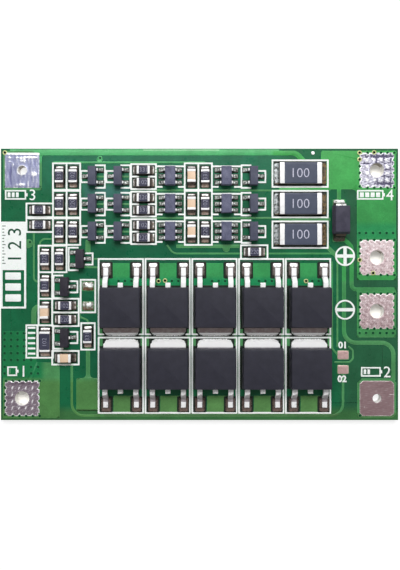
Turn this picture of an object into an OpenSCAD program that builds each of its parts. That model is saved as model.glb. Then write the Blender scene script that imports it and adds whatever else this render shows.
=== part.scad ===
// Battery management board for three cells in series: a coated glass-fibre board with printed
// copper, six plated wire terminals and surface-mounted parts on its upper face.
// Frame: origin under the board's middle on the plane that its lower lands rest on, +Z up.

/* [Board] */
// Length of the board along X
board_l = 60; // [58:0.5:72]
// Width of the board along Y
board_w = 41; // [40.5:0.5:50]
// Thickness of the coated glass-fibre core
board_t = 1; // [0.6:0.1:2.4]
// Border of each face that no copper reaches
edge_bare = 0.35; // [0.2:0.05:0.45]
// Radius of the copper's outer corners
copper_round = 0.08; // [0.04:0.01:0.1]
// Thickness of the copper with the coat over it
foil_t = 0.07; // [0.04:0.01:0.15]
// Thickness of the tin on a bare land
tin_t = 0.06; // [0.03:0.01:0.12]

/* [Print] */
// Width of a printed line
print_w = 0.25; // [0.15:0.01:0.3]
// Thickness of the printed ink
ink_t = 0.02; // [0.01:0.005:0.04]
// Gap that the print keeps from a bare land
print_gap = 0.1; // [0.05:0.01:0.2]
// Radius of the print's corners
print_round = 0.06; // [0.02:0.01:0.08]
// Size of the printed label field along X and Y
label_size = [3.85, 13.1]; // [2:0.05:14]
// Height of the label field's middle over the board's middle
label_y = 2.9; // [2.5:0.05:3.3]
// Border of the label field round its clear window
label_border = 0.3; // [0.2:0.05:0.6]
// Length of the label field's clear window along Y
window_l = 5.5; // [3:0.1:8]
// Radius of the ring round a pole sign
sign_r = 1.5; // [1:0.05:1.8]
// Gap between a pole sign and its terminal's land
sign_gap = 0.7; // [0.5:0.05:0.9]
// Width of a bar in a pole sign
sign_bar_w = 0.5; // [0.3:0.05:0.6]
// Width of the framed field beside the large resistor
side_field_w = 1.65; // [1.4:0.05:1.8]

/* [Tracks] */
// Width of a signal track
thin = 0.25; // [0.15:0.01:0.4]
// Width of a supply track
wide = 0.6; // [0.4:0.05:0.7]
// Width of the track along the top edge
top_track_w = 0.75; // [0.5:0.05:0.9]
// Width of the bus track under the small parts
bus_track_w = 0.5; // [0.3:0.05:0.6]
// Width of the track along the lower edge
low_track_w = 0.35; // [0.2:0.05:0.6]
// Margin of copper round a soldered land
land_margin = 0.06; // [0.03:0.01:0.1]
// Margin of copper round a terminal's land
terminal_margin = 0.35; // [0.2:0.05:0.4]
// Radius of a track's bends
bend_r = 1; // [0.5:0.1:1.5]
// Radius of a rail's bends
rail_r = 1.8; // [1:0.1:2.2]
// Radius of a pour's corners
pour_r = 0.3; // [0.1:0.02:0.34]
// Radius of the inner corner where the sense pour meets the battery pour
notch_r = 0.75; // [0.3:0.05:1]

/* [Terminals] */
// Size of the tinned land round a wire hole along X
land_l = 5.2; // [4.4:0.1:5.6]
// Size of the tinned land round a wire hole along Y
land_w = 5.3; // [4.4:0.1:5.6]
// Distance from the board's edges to a corner land
land_inset = 0.65; // [0.5:0.05:0.9]
// Bore of a hole for a power wire
power_bore = 2.15; // [1.5:0.05:2.6]
// Bore of a hole for a balance wire
tap_bore = 1.3; // [0.8:0.05:1.6]
// Wall of the plated and tinned barrel in a wire hole
plating = 0.16; // [0.05:0.01:0.2]
// Distance between the two load terminals
pole_pitch = 8.1; // [6.6:0.1:10]
// Corner cut of the lower balance land
land_chamfer = 0.45; // [0.2:0.05:0.8]

/* [Power transistors] */
// Number of power transistors in a row
fet_count = 5; // [3:1:5]
// Moulded body's size along X
fet_l = 6.2; // [6:0.05:6.5]
// Moulded body's size along Y
fet_w = 6.1; // [5.6:0.05:6.3]
// Height of the body over its lands
fet_h = 2.25; // [1.9:0.05:2.6]
// Width of the metal tab
tab_w = 5.3; // [4.6:0.05:5.6]
// Length of tab outside the body
tab_l = 0.95; // [0.7:0.05:1.1]
// Thickness of the tab and of the leads
tab_t = 0.5; // [0.4:0.02:0.6]
// Corner cut of the tab
tab_chamfer = 0.4; // [0.2:0.05:0.6]
// Length of tab sunk in the body's underside
paddle_l = 4.4; // [3.6:0.1:4.6]
// Width of a power lead
lead_w = 0.76; // [0.6:0.02:0.9]
// Distance of a power lead from the middle
lead_x = 2.3; // [2:0.02:2.4]
// Height of the leads' underside where they leave the body
lead_z = 0.8; // [0.6:0.05:1]
// Reach of the leads beyond the body
lead_reach = 2.9; // [2.6:0.05:3]
// Distances from the body to the two bends of a lead
lead_bends = [0.8, 1.5]; // [0.6:0.05:1.8]
// Size of a power lead's land along X and Y
lead_land = [1.5, 2.1]; // [1.2:0.05:2.3]
// Length of land past a power lead's end
lead_land_out = 0.7; // [0.5:0.05:0.8]
// Length of land past the tab's end
tab_land_out = 0.3; // [0.2:0.02:0.36]
// Gap between the body and its lands
body_lift = 0.05; // [0.02:0.01:0.1]
// Length of the cut middle lead
stub_l = 0.65; // [0.4:0.05:0.9]

/* [Sense resistors] */
// Number of sense resistors
sense_count = 3; // [2:1:3]
// Sense resistor's length
sense_l = 6.35; // [5.8:0.05:6.6]
// Sense resistor's width
sense_w = 3.2; // [2.8:0.05:3.4]
// Sense resistor's height
sense_h = 0.6; // [0.5:0.05:0.9]
// Length of the sense resistor's end cap
sense_cap = 0.75; // [0.5:0.05:1]

/* [Chips] */
// Length of a chip resistor or capacitor
chip_l = 2; // [1.8:0.05:2.1]
// Width of a chip resistor or capacitor
chip_w = 1.25; // [1.1:0.05:1.35]
// Height of a chip resistor
resistor_h = 0.5; // [0.4:0.05:0.7]
// Height of a chip capacitor
capacitor_h = 0.85; // [0.6:0.05:1.2]
// Length of a chip's metal end
chip_cap = 0.4; // [0.3:0.02:0.5]
// Thickness of a chip's metal end
cap_t = 0.03; // [0.02:0.005:0.05]
// Length of the large chip resistor
large_l = 3.1; // [2.8:0.05:3.3]
// Width of the large chip resistor
large_w = 1.55; // [1.4:0.05:1.7]
// Length of land that shows past a chip's end
land_out = 0.5; // [0.35:0.05:0.65]
// Length of land that lies further in than a chip's metal end
land_in = 0.1; // [0.05:0.01:0.2]

/* [Small packages] */
// Length of a small package's body
small_l = 2.9; // [2.7:0.05:3.1]
// Width of a small transistor's body
small_w = 1.3; // [1.2:0.05:1.5]
// Width of a controller's body
control_w = 1.6; // [1.5:0.05:1.8]
// Height of a small package's body
small_h = 1; // [0.8:0.05:1.2]
// Gap under a small package's body
small_lift = 0.06; // [0.03:0.01:0.12]
// Reach of a small lead beyond the body
small_reach = 0.55; // [0.5:0.05:0.65]
// Width of a small lead
small_lead_w = 0.4; // [0.3:0.02:0.5]
// Thickness of a small lead
small_lead_t = 0.13; // [0.1:0.01:0.18]
// Distance of a small transistor's outer leads from its middle
small_lead_y = 0.95; // [0.85:0.01:1.05]
// Size of a small lead's land along X and Y
small_land = [1, 0.62]; // [0.5:0.02:1.1]
// Length of land past a small lead's end
small_land_out = 0.4; // [0.3:0.02:0.45]

/* [Diode] */
// Length of the diode's body
diode_l = 4.3; // [4:0.05:4.5]
// Width of the diode's body
diode_w = 2.6; // [2.3:0.05:2.8]
// Height of the diode over its lands
diode_h = 2.1; // [1.8:0.05:2.3]
// Width of the diode's leads
diode_lead_w = 1.5; // [1.2:0.05:1.8]
// Thickness of the diode's leads
diode_lead_t = 0.2; // [0.15:0.01:0.25]
// Length of lead that folds under the diode
diode_fold = 1; // [0.7:0.05:1.3]
// Reach of the diode's leads beyond the body
diode_reach = 0.3; // [0.25:0.01:0.4]
// Size of a diode lead's land along X and Y
diode_land = [1.8, 2]; // [1.6:0.05:2.2]
// Length of land past a diode lead
diode_land_out = 0.7; // [0.5:0.05:0.8]

/* [Layout] */
// Gap between a printed frame and a chip's long side
frame_side = 0.4; // [0.3:0.01:0.42]
// Gap between a printed frame and a land's end
frame_end = 0.5; // [0.35:0.01:0.52]
// Gap between two rows of small parts
row_gap = 0.15; // [0.1:0.05:0.4]
// Space that a small transistor's cell has past its leads
cell_side = 0.72; // [0.65:0.01:0.75]
// Space that a controller's cell has past its leads
control_side = 0.82; // [0.75:0.01:0.9]
// Distance from the left edge to the rows of small parts
row_inset = 7.9; // [7.5:0.05:8.2]
// Height of the middle row over the board's middle
row_y = 12.1; // [12:0.05:12.4]
// Space between the rows' end and the sense resistors' frames
sense_gap = 0.95; // [0.8:0.05:1.1]
// Gap between two sense resistors' frames
sense_row_gap = 0.6; // [0.5:0.05:0.8]
// Space between the sense resistors' frames and the diode
diode_gap = 0.4; // [0.3:0.05:0.5]
// Gap between neighbouring power transistors
fet_gap = 0.86; // [0.6:0.02:0.9]
// Gap between the tabs of the two rows of power transistors
tab_gap = 1.1; // [0.9:0.05:1.4]
// Place of the power transistors' middle along X
fet_x = 2.35; // [2.2:0.05:2.5]
// Distance from the lower edge to the power transistors' leads
fet_inset = 2; // [1.8:0.05:2.2]
// Shift of the power transistors' frames from the parts, along X and Y
fet_print_shift = [-0.1, 0.22]; // [-0.2:0.02:0.3]
// Distance from the power transistors to the test lands' middle
test_gap = 1.65; // [1.5:0.05:1.8]
// Size of a test land along X and Y
test_size = [1.66, 1.3]; // [1:0.05:1.8]
// Size of a spare land along X and Y
spare_size = [1.7, 1.35]; // [1:0.05:1.8]
// Distance between the two spare lands
spare_pitch = 3; // [2.6:0.1:3.2]
// Height of the diode's middle over the board's middle
diode_y = 9.6; // [9:0.1:10.4]
// Gap between a column of small parts and its neighbour
column_gap = 0.12; // [0.05:0.01:0.2]
// Gap between the power transistors and the column left of them
column_fet_gap = 0.5; // [0.4:0.05:0.6]

/* [Hidden] */
arc_steps = 4;
bend_steps = 8;
draft = 7;
lead_root = 0.5;
small_root = 0.25;
toe_rise = 0.62;
toe_run = 0.8;
toe_width = 0.9;
small_parting = 0.45;
small_bends = [0.12, 0.27];
tab_bends = [0.3, 0.8];

// Levels, from the lower lands up
z_lower_foil = tin_t;
z_core = z_lower_foil + foil_t;
z_face = z_core + board_t;
z_foil = z_face + foil_t;
z_seat = z_foil + tin_t;

// Cells of the small parts' rows
chip_cell_l = chip_l + 2 * (land_out + frame_end);
chip_cell_w = chip_w + 2 * frame_side;
small_span = small_w + 2 * small_reach;
control_span = control_w + 2 * small_reach;
pair_cell_l = chip_cell_l - print_w;
row_kinds = ["resistor", "resistor", "switch", "switch", "pair", "protector",
    "capacitor", "resistor", "balancer", "bleeder"];
row_pitch = chip_cell_l + row_gap;
row_start = row_inset - board_l / 2;
rows = [for (i = [1:-1:-1]) row_y + i * row_pitch];
function cell_width(kind) =
    kind == "resistor" || kind == "capacitor" ? chip_cell_w
    : kind == "pair" ? pair_cell_l
    : kind == "switch" || kind == "bleeder" ? small_span + 2 * cell_side
    : control_span + 2 * control_side;
function row_length(count) = count == 0 ? 0
    : row_length(count - 1) + cell_width(row_kinds[count - 1]);
function cell_x(index) = row_start + row_length(index) + cell_width(row_kinds[index]) / 2;
function cells(kind) = [for (i = [0:len(row_kinds) - 1]) if (row_kinds[i] == kind) cell_x(i)];
function in_rows(kind, turn) = [for (x = cells(kind), y = rows) [x, y, turn]];
row_end = row_start + row_length(len(row_kinds));

// Sense resistors and diode, right of the rows
sense_frame_l = sense_l + 2 * (land_out + frame_end);
sense_frame_w = sense_w + 2 * frame_side;
sense_x = row_end + sense_gap + sense_frame_l / 2;
sense_pitch = sense_frame_w + sense_row_gap;
sense_top = row_y + (sense_count - 1) / 2 * sense_pitch;
sense_places = [for (i = [0:sense_count - 1]) [sense_x, sense_top - i * sense_pitch, 0]];
diode_x = sense_x + sense_frame_l / 2 + diode_gap + diode_w / 2;
diode_place = [diode_x, diode_y, 0];
diode_foot = diode_l / 2 + diode_reach;

// Power transistors, with their tabs towards each other
fet_pitch = fet_l + fet_gap;
fet_left = fet_x - fet_count * fet_pitch / 2;
fet_right = fet_x + fet_count * fet_pitch / 2;
fet_low_y = fet_inset + lead_reach + fet_w / 2 - board_w / 2;
fet_high_y = fet_low_y + fet_w + 2 * tab_l + tab_gap;
fet_mid_y = (fet_low_y + fet_high_y) / 2;
function fet_column(i) = fet_x + (i - (fet_count - 1) / 2) * fet_pitch;
fet_places = [for (row = [[fet_high_y, 180], [fet_low_y, 0]], i = [0:fet_count - 1])
    [fet_column(i), row[0], row[1]]];
fet_foot = fet_w / 2 + lead_reach;
fet_tip = fet_w / 2 + tab_l;
fet_print_l = fet_pitch - 0.36;
fet_print_near = tab_gap / 2 - tab_land_out;
fet_print_far = tab_gap / 2 + fet_tip + fet_foot + lead_land_out + 0.4;

// Parts left of the power transistors, in three columns
column_a = row_start - chip_cell_w / 2 - column_gap;
column_b = column_a + (chip_cell_w + chip_cell_l) / 2;
column_c = fet_left - column_fet_gap - chip_cell_w / 2;
column_top = rows[2] - chip_cell_l - column_gap;
sensor_x = row_start + chip_cell_w / 2;
left_x = row_start - chip_cell_l / 2;
lone_resistors = [
    [left_x, row_y - chip_cell_w / 2 + 0.1, 0],
    [left_x, row_y - 1.5 * chip_cell_w - 0.1, 0],
    [column_a, column_top, 90],
    [column_a, column_top - chip_cell_l, 90],
    [sensor_x, column_top, 90],
    [column_b, column_top - 1.5 * chip_cell_l - chip_cell_w / 2, 0],
    [column_b, column_top - 1.5 * chip_cell_l - 1.5 * chip_cell_w - 0.03, 0],
    [column_c, fet_mid_y + 0.15, 90],
    [row_end - chip_cell_l / 2 + 0.2, rows[2] - (chip_cell_l + chip_cell_w) / 2 - 0.05, 0]
];
pair_y = chip_cell_l / 4 - print_w / 4;
pair_resistors = [for (x = cells("pair"), y = rows, s = [1, -1]) [x, y + s * pair_y, 0]];
resistor_places = concat(in_rows("resistor", 90), pair_resistors, lone_resistors);
large_cell_l = large_l + 2 * (land_out + frame_end) - 0.2;
large_place = [column_a, column_top - 2.5 * chip_cell_l - large_cell_l / 2, 90];
capacitor_places = concat(in_rows("capacitor", 90), [
    [column_a, column_top - 2 * chip_cell_l, 90],
    [column_b, column_top - 2.5 * chip_cell_l - large_cell_l, 0]
]);
lone_transistors = [
    [column_c - small_w + 0.2, column_top, 180],
    [column_b, column_top - chip_cell_l - 0.2, 180],
    [column_b, column_top - 2.5 * chip_cell_l - small_l / 2 - 0.4, 180]
];
transistor_places = concat(in_rows("switch", 0), in_rows("bleeder", 180), lone_transistors);
protector_places = in_rows("protector", 0);
balancer_places = in_rows("balancer", 0);
control_places = concat(protector_places, balancer_places);

// Bare lands: an unused part's two, and two for testing
spare_place = [column_c, column_top - 1.4 * chip_cell_l, 0];
test_x = fet_right + test_gap;
test_pitch = 2.2;
test_places = [for (i = [0, 1]) [test_x, fet_mid_y - 2.65 - i * test_pitch, 0]];
test_top = test_places[0][1];

// Terminals: name, place, bore and whether the land's corners are cut
corner_x = board_l / 2 - land_inset - land_l / 2;
corner_y = board_w / 2 - land_inset - land_w / 2;
terminals = [
    ["tap_high", [-corner_x, corner_y], tap_bore, false],
    ["battery_plus", [corner_x, corner_y], power_bore, false],
    ["load_plus", [corner_x, pole_pitch / 2], power_bore, false],
    ["load_minus", [corner_x, -pole_pitch / 2], power_bore, false],
    ["battery_minus", [-corner_x, -corner_y], power_bore, false],
    ["tap_low", [corner_x, -corner_y], tap_bore, true]
];

// Corner b of a path, turned into an arc of radius r where its legs are long enough
function corner_arc(a, b, c, r, steps) =
    let (u = (a - b) / norm(a - b), v = (c - b) / norm(c - b))
    let (half = acos(max(-1, min(1, u * v))) / 2)
    half > 89 ? [b] :
    let (leg = min(r / tan(half), 0.49 * min(norm(a - b), norm(c - b))))
    let (radius = leg * tan(half), mid = b + (u + v) / norm(u + v) * radius / sin(half))
    let (start = b + leg * u - mid, turn = 180 - 2 * half)
    let (way = u[0] * v[1] - u[1] * v[0] > 0 ? -1 : 1)
    [for (i = [0:steps]) let (w = way * turn * i / steps)
        mid + [start[0] * cos(w) - start[1] * sin(w), start[0] * sin(w) + start[1] * cos(w)]];

// A path with every inner corner rounded
function rounded(path, r, steps = arc_steps) = [path[0],
    for (i = [1:1:len(path) - 2]) each corner_arc(path[i - 1], path[i], path[i + 1], r, steps),
    path[len(path) - 1]];

// Outline of a band of even width along a path
function normal(a, b) = [a[1] - b[1], b[0] - a[0]] / norm(b - a);
function mitre(path, i) =
    let (n = normal(path[max(i - 1, 0)], path[max(i, 1)]))
    let (m = normal(path[min(i, len(path) - 2)], path[min(i + 1, len(path) - 1)]))
    (n + m) / (1 + n * m);
function band(path, width) = concat(
    [for (i = [0:len(path) - 1]) path[i] + mitre(path, i) * width / 2],
    [for (i = [len(path) - 1:-1:0]) path[i] - mitre(path, i) * width / 2]);

// Outline of a hollow solder toe: height against the part, run over the land
function toe(run, rise) = concat([[0, 0]],
    [for (i = [0:arc_steps]) let (w = 90 * i / arc_steps) [run * (1 - sin(w)), rise * (1 - cos(w))]]);

// Placing

module at(places) for (p = places) translate([p[0], p[1], 0]) rotate(p[2]) children();

module seated(places, z = z_seat) translate([0, 0, z]) at(places) children();

module block(size, x = 0, y = 0, z = 0) translate([x - size[0] / 2, y - size[1] / 2, z]) cube(size);

module plate(size, x = 0, y = 0) translate([x, y]) square(size, center = true);

module across_x(width) rotate([90, 0, 90]) linear_extrude(width, center = true) children();

module across_y(width) rotate([90, 0, 0]) linear_extrude(width, center = true) children();

// A moulded block, widest at its parting height and drafted above and below it
module moulding(size, parting) {
    function outline(width) =
        let (low = width / 2 - parting * tan(draft))
        let (high = width / 2 - (size[2] - parting) * tan(draft))
        [[-low, 0], [low, 0], [width / 2, parting], [high, size[2]], [-high, size[2]],
        [-width / 2, parting]];
    intersection() {
        across_y(size[1] + 1) polygon(outline(size[0]));
        across_x(size[0] + 1) polygon(outline(size[1]));
    }
}

// Lands, as flat outlines: the copper lies under them and the print keeps off them

// A land whose outer end lies at tip along X
module land_to(tip, size) plate(size, tip - size[0] / 2);

module chip_lands(length, width, cap)
    for (turn = [0, 180]) rotate(turn)
        land_to(length / 2 + land_out, [land_in + cap + land_out, width]);

module small_land(width) land_to(width / 2 + small_reach + small_land_out, small_land);

module transistor_lands() {
    rotate(180) small_land(small_w);
    for (s = [-1, 1]) translate([0, s * small_lead_y]) small_land(small_w);
}

module control_lands()
    for (turn = [0, 180], y = [-1, 0, 1]) rotate(turn) translate([0, y * small_lead_y])
        small_land(control_w);

module fet_lead_lands()
    for (s = [-1, 1]) plate(lead_land, s * lead_x, lead_land[1] / 2 - fet_foot - lead_land_out);

// Outline of a plate that ends at tip with its far corners cut
function cut_plate(width, near, tip, cut) = [[-width / 2, near], [width / 2, near],
    [width / 2, tip - cut], [width / 2 - cut, tip], [cut - width / 2, tip], [-width / 2, tip - cut]];

module fet_tab_land()
    polygon(cut_plate(tab_w, fet_w / 2 - paddle_l, fet_tip + tab_land_out, tab_chamfer));

module diode_lands() for (s = [-1, 1])
    plate(diode_land, 0, s * (diode_foot + diode_land_out - diode_land[1] / 2));

module spare_lands() for (s = [-1, 1]) plate(spare_size, 0, s * spare_pitch / 2);

module all_lands() {
    at(concat(resistor_places, capacitor_places)) chip_lands(chip_l, chip_w, chip_cap);
    at([large_place]) chip_lands(large_l, large_w, chip_cap);
    at(sense_places) chip_lands(sense_l, sense_w, sense_cap);
    at(transistor_places) transistor_lands();
    at(control_places) control_lands();
    at(fet_places) {
        fet_lead_lands();
        fet_tab_land();
    }
    at([diode_place]) diode_lands();
    at([spare_place]) spare_lands();
    at(test_places) plate(test_size);
}

module terminal_land(t) {
    if (t[3])
        translate(t[1]) polygon([for (q = [[1, 1], [-1, 1], [-1, -1], [1, -1]])
            let (c = [land_l / 2, land_w / 2], cut = land_chamfer)
            each q[0] * q[1] > 0
                ? [[q[0] * c[0], q[1] * (c[1] - cut)], [q[0] * (c[0] - cut), q[1] * c[1]]]
                : [[q[0] * (c[0] - cut), q[1] * c[1]], [q[0] * c[0], q[1] * (c[1] - cut)]]]);
    else
        plate([land_l, land_w], t[1][0], t[1][1]);
}

// Lanes that the tracks and pours keep to, along X and along Y

edge_x = board_l / 2 - edge_bare;
edge_y = board_w / 2 - edge_bare;
lane_sense_in = sense_x - sense_l / 2;
lane_sense_out = sense_x + sense_l / 2;
lane_diode_in = diode_x - diode_w / 2;
lane_pour = corner_x - land_l / 2 - 0.4;
lane_test = test_x + 1.5;
lane_rail = fet_right + 1.8;
lane_rail_low = lane_rail + 1.15;
lane_gate = lane_rail - 1;
lane_source = lane_rail - 1.8;
lane_edge = edge_x - 0.4;
lane_block = column_b + 0.95;
lane_left = left_x - 0.9;
lane_large = column_a - 1.75;
lane_pour_left = column_a - 1.4;
lane_pour_mid = column_b - 0.9;
lane_top = edge_y - 0.3;
lane_cells = rows[0] + chip_cell_l / 2 + 0.15;
lane_under = rows[2] - chip_cell_l / 2;
lane_fets = fet_high_y + fet_foot + 2.15;
lane_mid = fet_mid_y - 0.8;
lane_low = 0.7 - board_w / 2;
lane_bleed = lone_resistors[6][1] + 0.4;
lane_spare = column_c - 1.28;
pour_minus_top = -0.45;
left_tap = -corner_x + land_l / 2;

module track(width, path, r = bend_r) polygon(band(rounded(path, r, bend_steps), width));

module pour(low, high) translate(low) square(high - low);

// Outer corners turned into arcs, and inner ones
module blunted(r) offset(r = r, $fn = 24) offset(delta = -r) children();

module filleted(r) offset(r = -r, $fn = 24) offset(delta = r) children();

// Tracks of the cells and of the sense resistors
module supply_tracks() {
    track(thin, [[row_start, lane_cells], [cell_x(7), lane_cells]]);
    for (i = [0, 1]) let (y = rows[i] - row_pitch / 2)
        track(thin, [[cell_x(5) - control_span, y], [lane_sense_out, y]]);
    for (i = [0:sense_count - 2]) let (y = sense_top - (i + 0.5) * sense_pitch)
        track(bus_track_w, [[lane_sense_in, y], [lane_diode_in, y]]);
    for (y = rows, x = cells("switch"))
        track(thin, [[x, y], [x + small_span / 2 + cell_side, y]]);
}

// Tracks under the small parts and round the right end of the power transistors
module signal_tracks() {
    track(bus_track_w, [[cell_x(6) - 2.3, lane_under - 0.2],
        [cells("balancer")[0] + 2, lane_under - 0.2]]);
    track(thin, [[cell_x(5) - 0.5, lane_under], [cell_x(5) + 0.4, lane_fets],
        [lane_gate, lane_fets], [lane_gate, test_top + 1.2]], 1.2);
    track(thin, [[lane_source, lane_fets - 1.2], [lane_source, test_top + 1],
        [test_x - 0.8, test_top]], 0.8);
    track(thin, [[test_x + 0.8, test_top + 1.3], [lane_test, test_top + 0.7],
        [lane_test, test_top - 0.5], [lane_test - 0.5, test_top - test_pitch / 2],
        [test_x - 1.3, test_top - test_pitch / 2]], 0.5);
    track(low_track_w, [[test_x, test_places[1][1]], [test_x, lane_low], [lane_block, lane_low],
        [lane_block, capacitor_places[4][1]]], rail_r);
}

// Tracks that lead the current to the power terminals
module rail_tracks() {
    track(wide, [[lane_sense_out, sense_top - 2.2 * sense_pitch], [lane_rail, lane_fets - 1.5],
        [lane_rail, lane_mid], [lane_edge, lane_mid], [lane_edge, land_w / 2 - corner_y]], rail_r);
    track(wide, [[diode_x + 0.4, diode_y - diode_foot], [lane_rail_low, diode_y - diode_foot - 1.4],
        [lane_rail_low, pour_minus_top - wide / 2], [lane_pour + 0.6, pour_minus_top - wide / 2]],
        1.2);
    track(wide, [[diode_x, diode_y + diode_foot], [diode_x, corner_y - 2.5]]);
}

// Tracks between the parts left of the power transistors
module left_tracks() {
    bleed_y = column_top - 1.6 * chip_cell_l;
    gate = lone_transistors[0][0];
    track(thin, [[lane_left, lone_resistors[1][1] - 0.4], [lane_left, column_top - 3.2],
        [column_a, column_top - chip_cell_l]], 0.6);
    track(thin, [[sensor_x, rows[2] - 1.1], [column_a - 0.85, rows[2] - 1.1],
        [column_a - 0.85, lane_under - 1]], 0.8);
    track(top_track_w, [[lane_large, bleed_y - 0.85 * chip_cell_l],
        [lane_large, bleed_y - 0.2 * chip_cell_l], [column_a, bleed_y - 0.2 * chip_cell_l]]);
    track(top_track_w, [[column_c, lane_under + 0.7], [column_c, lane_under - 1.2]]);
    track(thin, [[gate, column_top], [fet_left + 0.8, column_top]]);
    track(thin, [[gate, column_top - 1.25], [fet_left + 0.6, column_top - 1.25]]);
    track(top_track_w, [[lane_block, bleed_y], [lane_block, bleed_y - 0.6 * chip_cell_l]]);
    track(thin, [[column_b + 1, lone_resistors[5][1]], [lane_spare, lone_resistors[5][1]],
        [lane_spare, lane_bleed], [column_c, lane_bleed - 0.55],
        [column_c, lone_resistors[7][1] + 1]], 0.5);
    filleted(2 * pour_r) {
        track(wide, [[column_c, lone_resistors[7][1] - 1], [column_c, fet_low_y - 2]]);
        blunted(pour_r) pour([column_c - 1.75, lane_low + 0.7], [fet_left + 0.1, fet_low_y - 1.6]);
    }
}

// Round lands of single vias
module via_lands() {
    for (v = [[cells("switch")[0] + 1, lane_cells + 0.4, 0.9], [left_x - 1.7, rows[2] - 1.8, 1.3],
        [cells("balancer")[0], lane_under - 0.5, 1.1]])
        translate([v[0], v[1]]) circle(d = v[2], $fn = 24);
}

// Wide copper areas and the broad track along the top edge
module power_pours() filleted(pour_r) blunted(pour_r) {
    track(top_track_w, [[left_tap - 2, lane_top], [sense_x - 0.6, lane_top],
        [sense_x + 1, lane_top - 1.8]], 1.6);
    filleted(notch_r) {
        pour([lane_sense_out, corner_y - 2.85], [edge_x, edge_y]);
        pour([lane_pour, 0.65], [edge_x, edge_y]);
    }
    pour([lane_pour, -pole_pitch / 2 - land_w / 2 - 1.3], [edge_x, pour_minus_top]);
    pour([-edge_x, -edge_y], [lane_pour_left, column_top - 2.55 * chip_cell_l - 0.7]);
    pour([lane_pour_left, -edge_y], [lane_pour_mid, capacitor_places[4][1] - 0.7]);
    for (t = terminals) offset(delta = terminal_margin) terminal_land(t);
}

// Copper round one power transistor: under its tab and between its leads
module fet_copper() {
    plate([fet_pitch - 0.46, paddle_l + tab_l + 0.6], 0,
        fet_tip + 0.4 - (paddle_l + tab_l + 0.6) / 2);
    plate([3, 2.4], 0.3, -fet_w / 2 - 2.4);
}

// Copper that runs on under the upper row's bodies
module source_pour() plate([fet_pitch - 0.66, 2.2], 0, -fet_w / 2 - 0.2);

module board_bounds() plate([2 * edge_x, 2 * edge_y]);

// Every piece of copper on the upper face, with its outer corners rounded
module copper_outline() {
    offset(r = copper_round, $fn = 8) offset(delta = -copper_round) intersection() {
        board_bounds();
        union() {
            supply_tracks();
            signal_tracks();
            rail_tracks();
            left_tracks();
            power_pours();
            via_lands();
            at(fet_places) fet_copper();
            at([for (i = [0:fet_count - 1]) fet_places[i]]) source_pour();
            offset(delta = land_margin) all_lands();
        }
    }
}

// Printed lines

module frame_line(size, x = 0, y = 0) difference() {
    plate([size[0] + print_w, size[1] + print_w], x, y);
    plate([size[0] - print_w, size[1] - print_w], x, y);
}

module stroke_line(path) polygon(band(path, print_w));

// A bracket that closes the side of a small package, from its body to the cell's edge
module bracket(near, far, half) stroke_line([[near, half], [far, half], [far, -half], [near, -half]]);

module transistor_print() {
    far = small_span / 2 + cell_side - print_w / 2;
    bracket(small_w / 4, far, small_l / 2 + print_w);
    rotate(180) bracket(small_w / 2, far, small_lead_y - print_gap);
}

module control_print() {
    half = control_span / 2 + control_side;
    y = small_l / 2 + print_gap;
    stroke_line([[-half, y], [half, y]]);
    for (s = [-1, 1]) stroke_line([[s * half, -y], [s * (half - 1), -y]]);
}

module pair_print() {
    frame_line([pair_cell_l, pair_cell_l]);
    for (s = [-1, 1]) stroke_line([[s * pair_cell_l / 2, 0], [s * (pair_cell_l / 2 - 1.2), 0]]);
}

module fet_frames()
    for (s = [-1, 1], i = [0:fet_count - 1])
        frame_line([fet_print_l, fet_print_far - fet_print_near],
            fet_column(i) + fet_print_shift[0],
            fet_mid_y + fet_print_shift[1] + s * (fet_print_near + fet_print_far) / 2);

module pole_sign(y, plus) translate([corner_x - land_l / 2 - sign_gap - sign_r, y]) {
    difference() {
        circle(sign_r, $fn = 48);
        circle(sign_r - print_w, $fn = 48);
    }
    for (turn = plus ? [0, 90] : [0]) rotate(turn) plate([2 * sign_r - print_w, sign_bar_w]);
}

label_x = (label_size[0] - board_l) / 2;

module label_field() difference() {
    plate(label_size, label_x, label_y);
    plate([label_size[0] - 2 * label_border, window_l], label_x,
        label_y - label_size[1] / 2 + label_border + window_l / 2);
}

module side_field() frame_line([side_field_w, large_cell_l],
    large_place[0] - (chip_cell_w + side_field_w) / 2 - 0.2, large_place[1]);

module print_outline() {
    offset(r = print_round, $fn = 8) offset(delta = -print_round) difference() {
        union() {
            at(concat(in_rows("resistor", 90), in_rows("capacitor", 90), lone_resistors,
                [capacitor_places[3], capacitor_places[4]])) frame_line([chip_cell_l, chip_cell_w]);
            at([large_place]) frame_line([large_cell_l, chip_cell_w + 0.25]);
            at(in_rows("pair", 0)) pair_print();
            at(control_places) control_print();
            at(transistor_places) transistor_print();
            at(sense_places) frame_line([sense_frame_l, sense_frame_w]);
            at([spare_place]) frame_line([chip_cell_w + 0.15, spare_pitch + 1.9]);
            fet_frames();
            pole_sign(pole_pitch / 2 + fet_print_shift[1], true);
            pole_sign(-pole_pitch / 2 + fet_print_shift[1], false);
            label_field();
            side_field();
        }
        offset(delta = print_gap) all_lands();
    }
}

// The board's own layers

module bores(extra = 0) for (t = terminals)
    translate([t[1][0], t[1][1], -1]) cylinder(d = t[2] + 2 * extra, h = z_seat + 2, $fn = 64);

module laminate() color("#1d6b45") difference() {
    block([board_l, board_w, board_t], z = z_core);
    bores(plating);
}

module top_copper() color("#46a552") difference() {
    translate([0, 0, z_face]) linear_extrude(foil_t) copper_outline();
    bores(plating);
}

module bottom_copper() color("#3f9a4c") difference() {
    union() for (s = [-1, 1])
        block([edge_x - edge_bare, 2 * edge_y, foil_t], x = s * (edge_x + edge_bare) / 2,
            z = z_lower_foil);
    bores(plating);
}

module legend() color("#e6f7ea") {
    translate([0, 0, z_foil]) linear_extrude(ink_t) print_outline();
    translate([0, 0, z_face]) linear_extrude(foil_t) offset(delta = 0) difference() {
        print_outline();
        copper_outline();
    }
}

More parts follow.
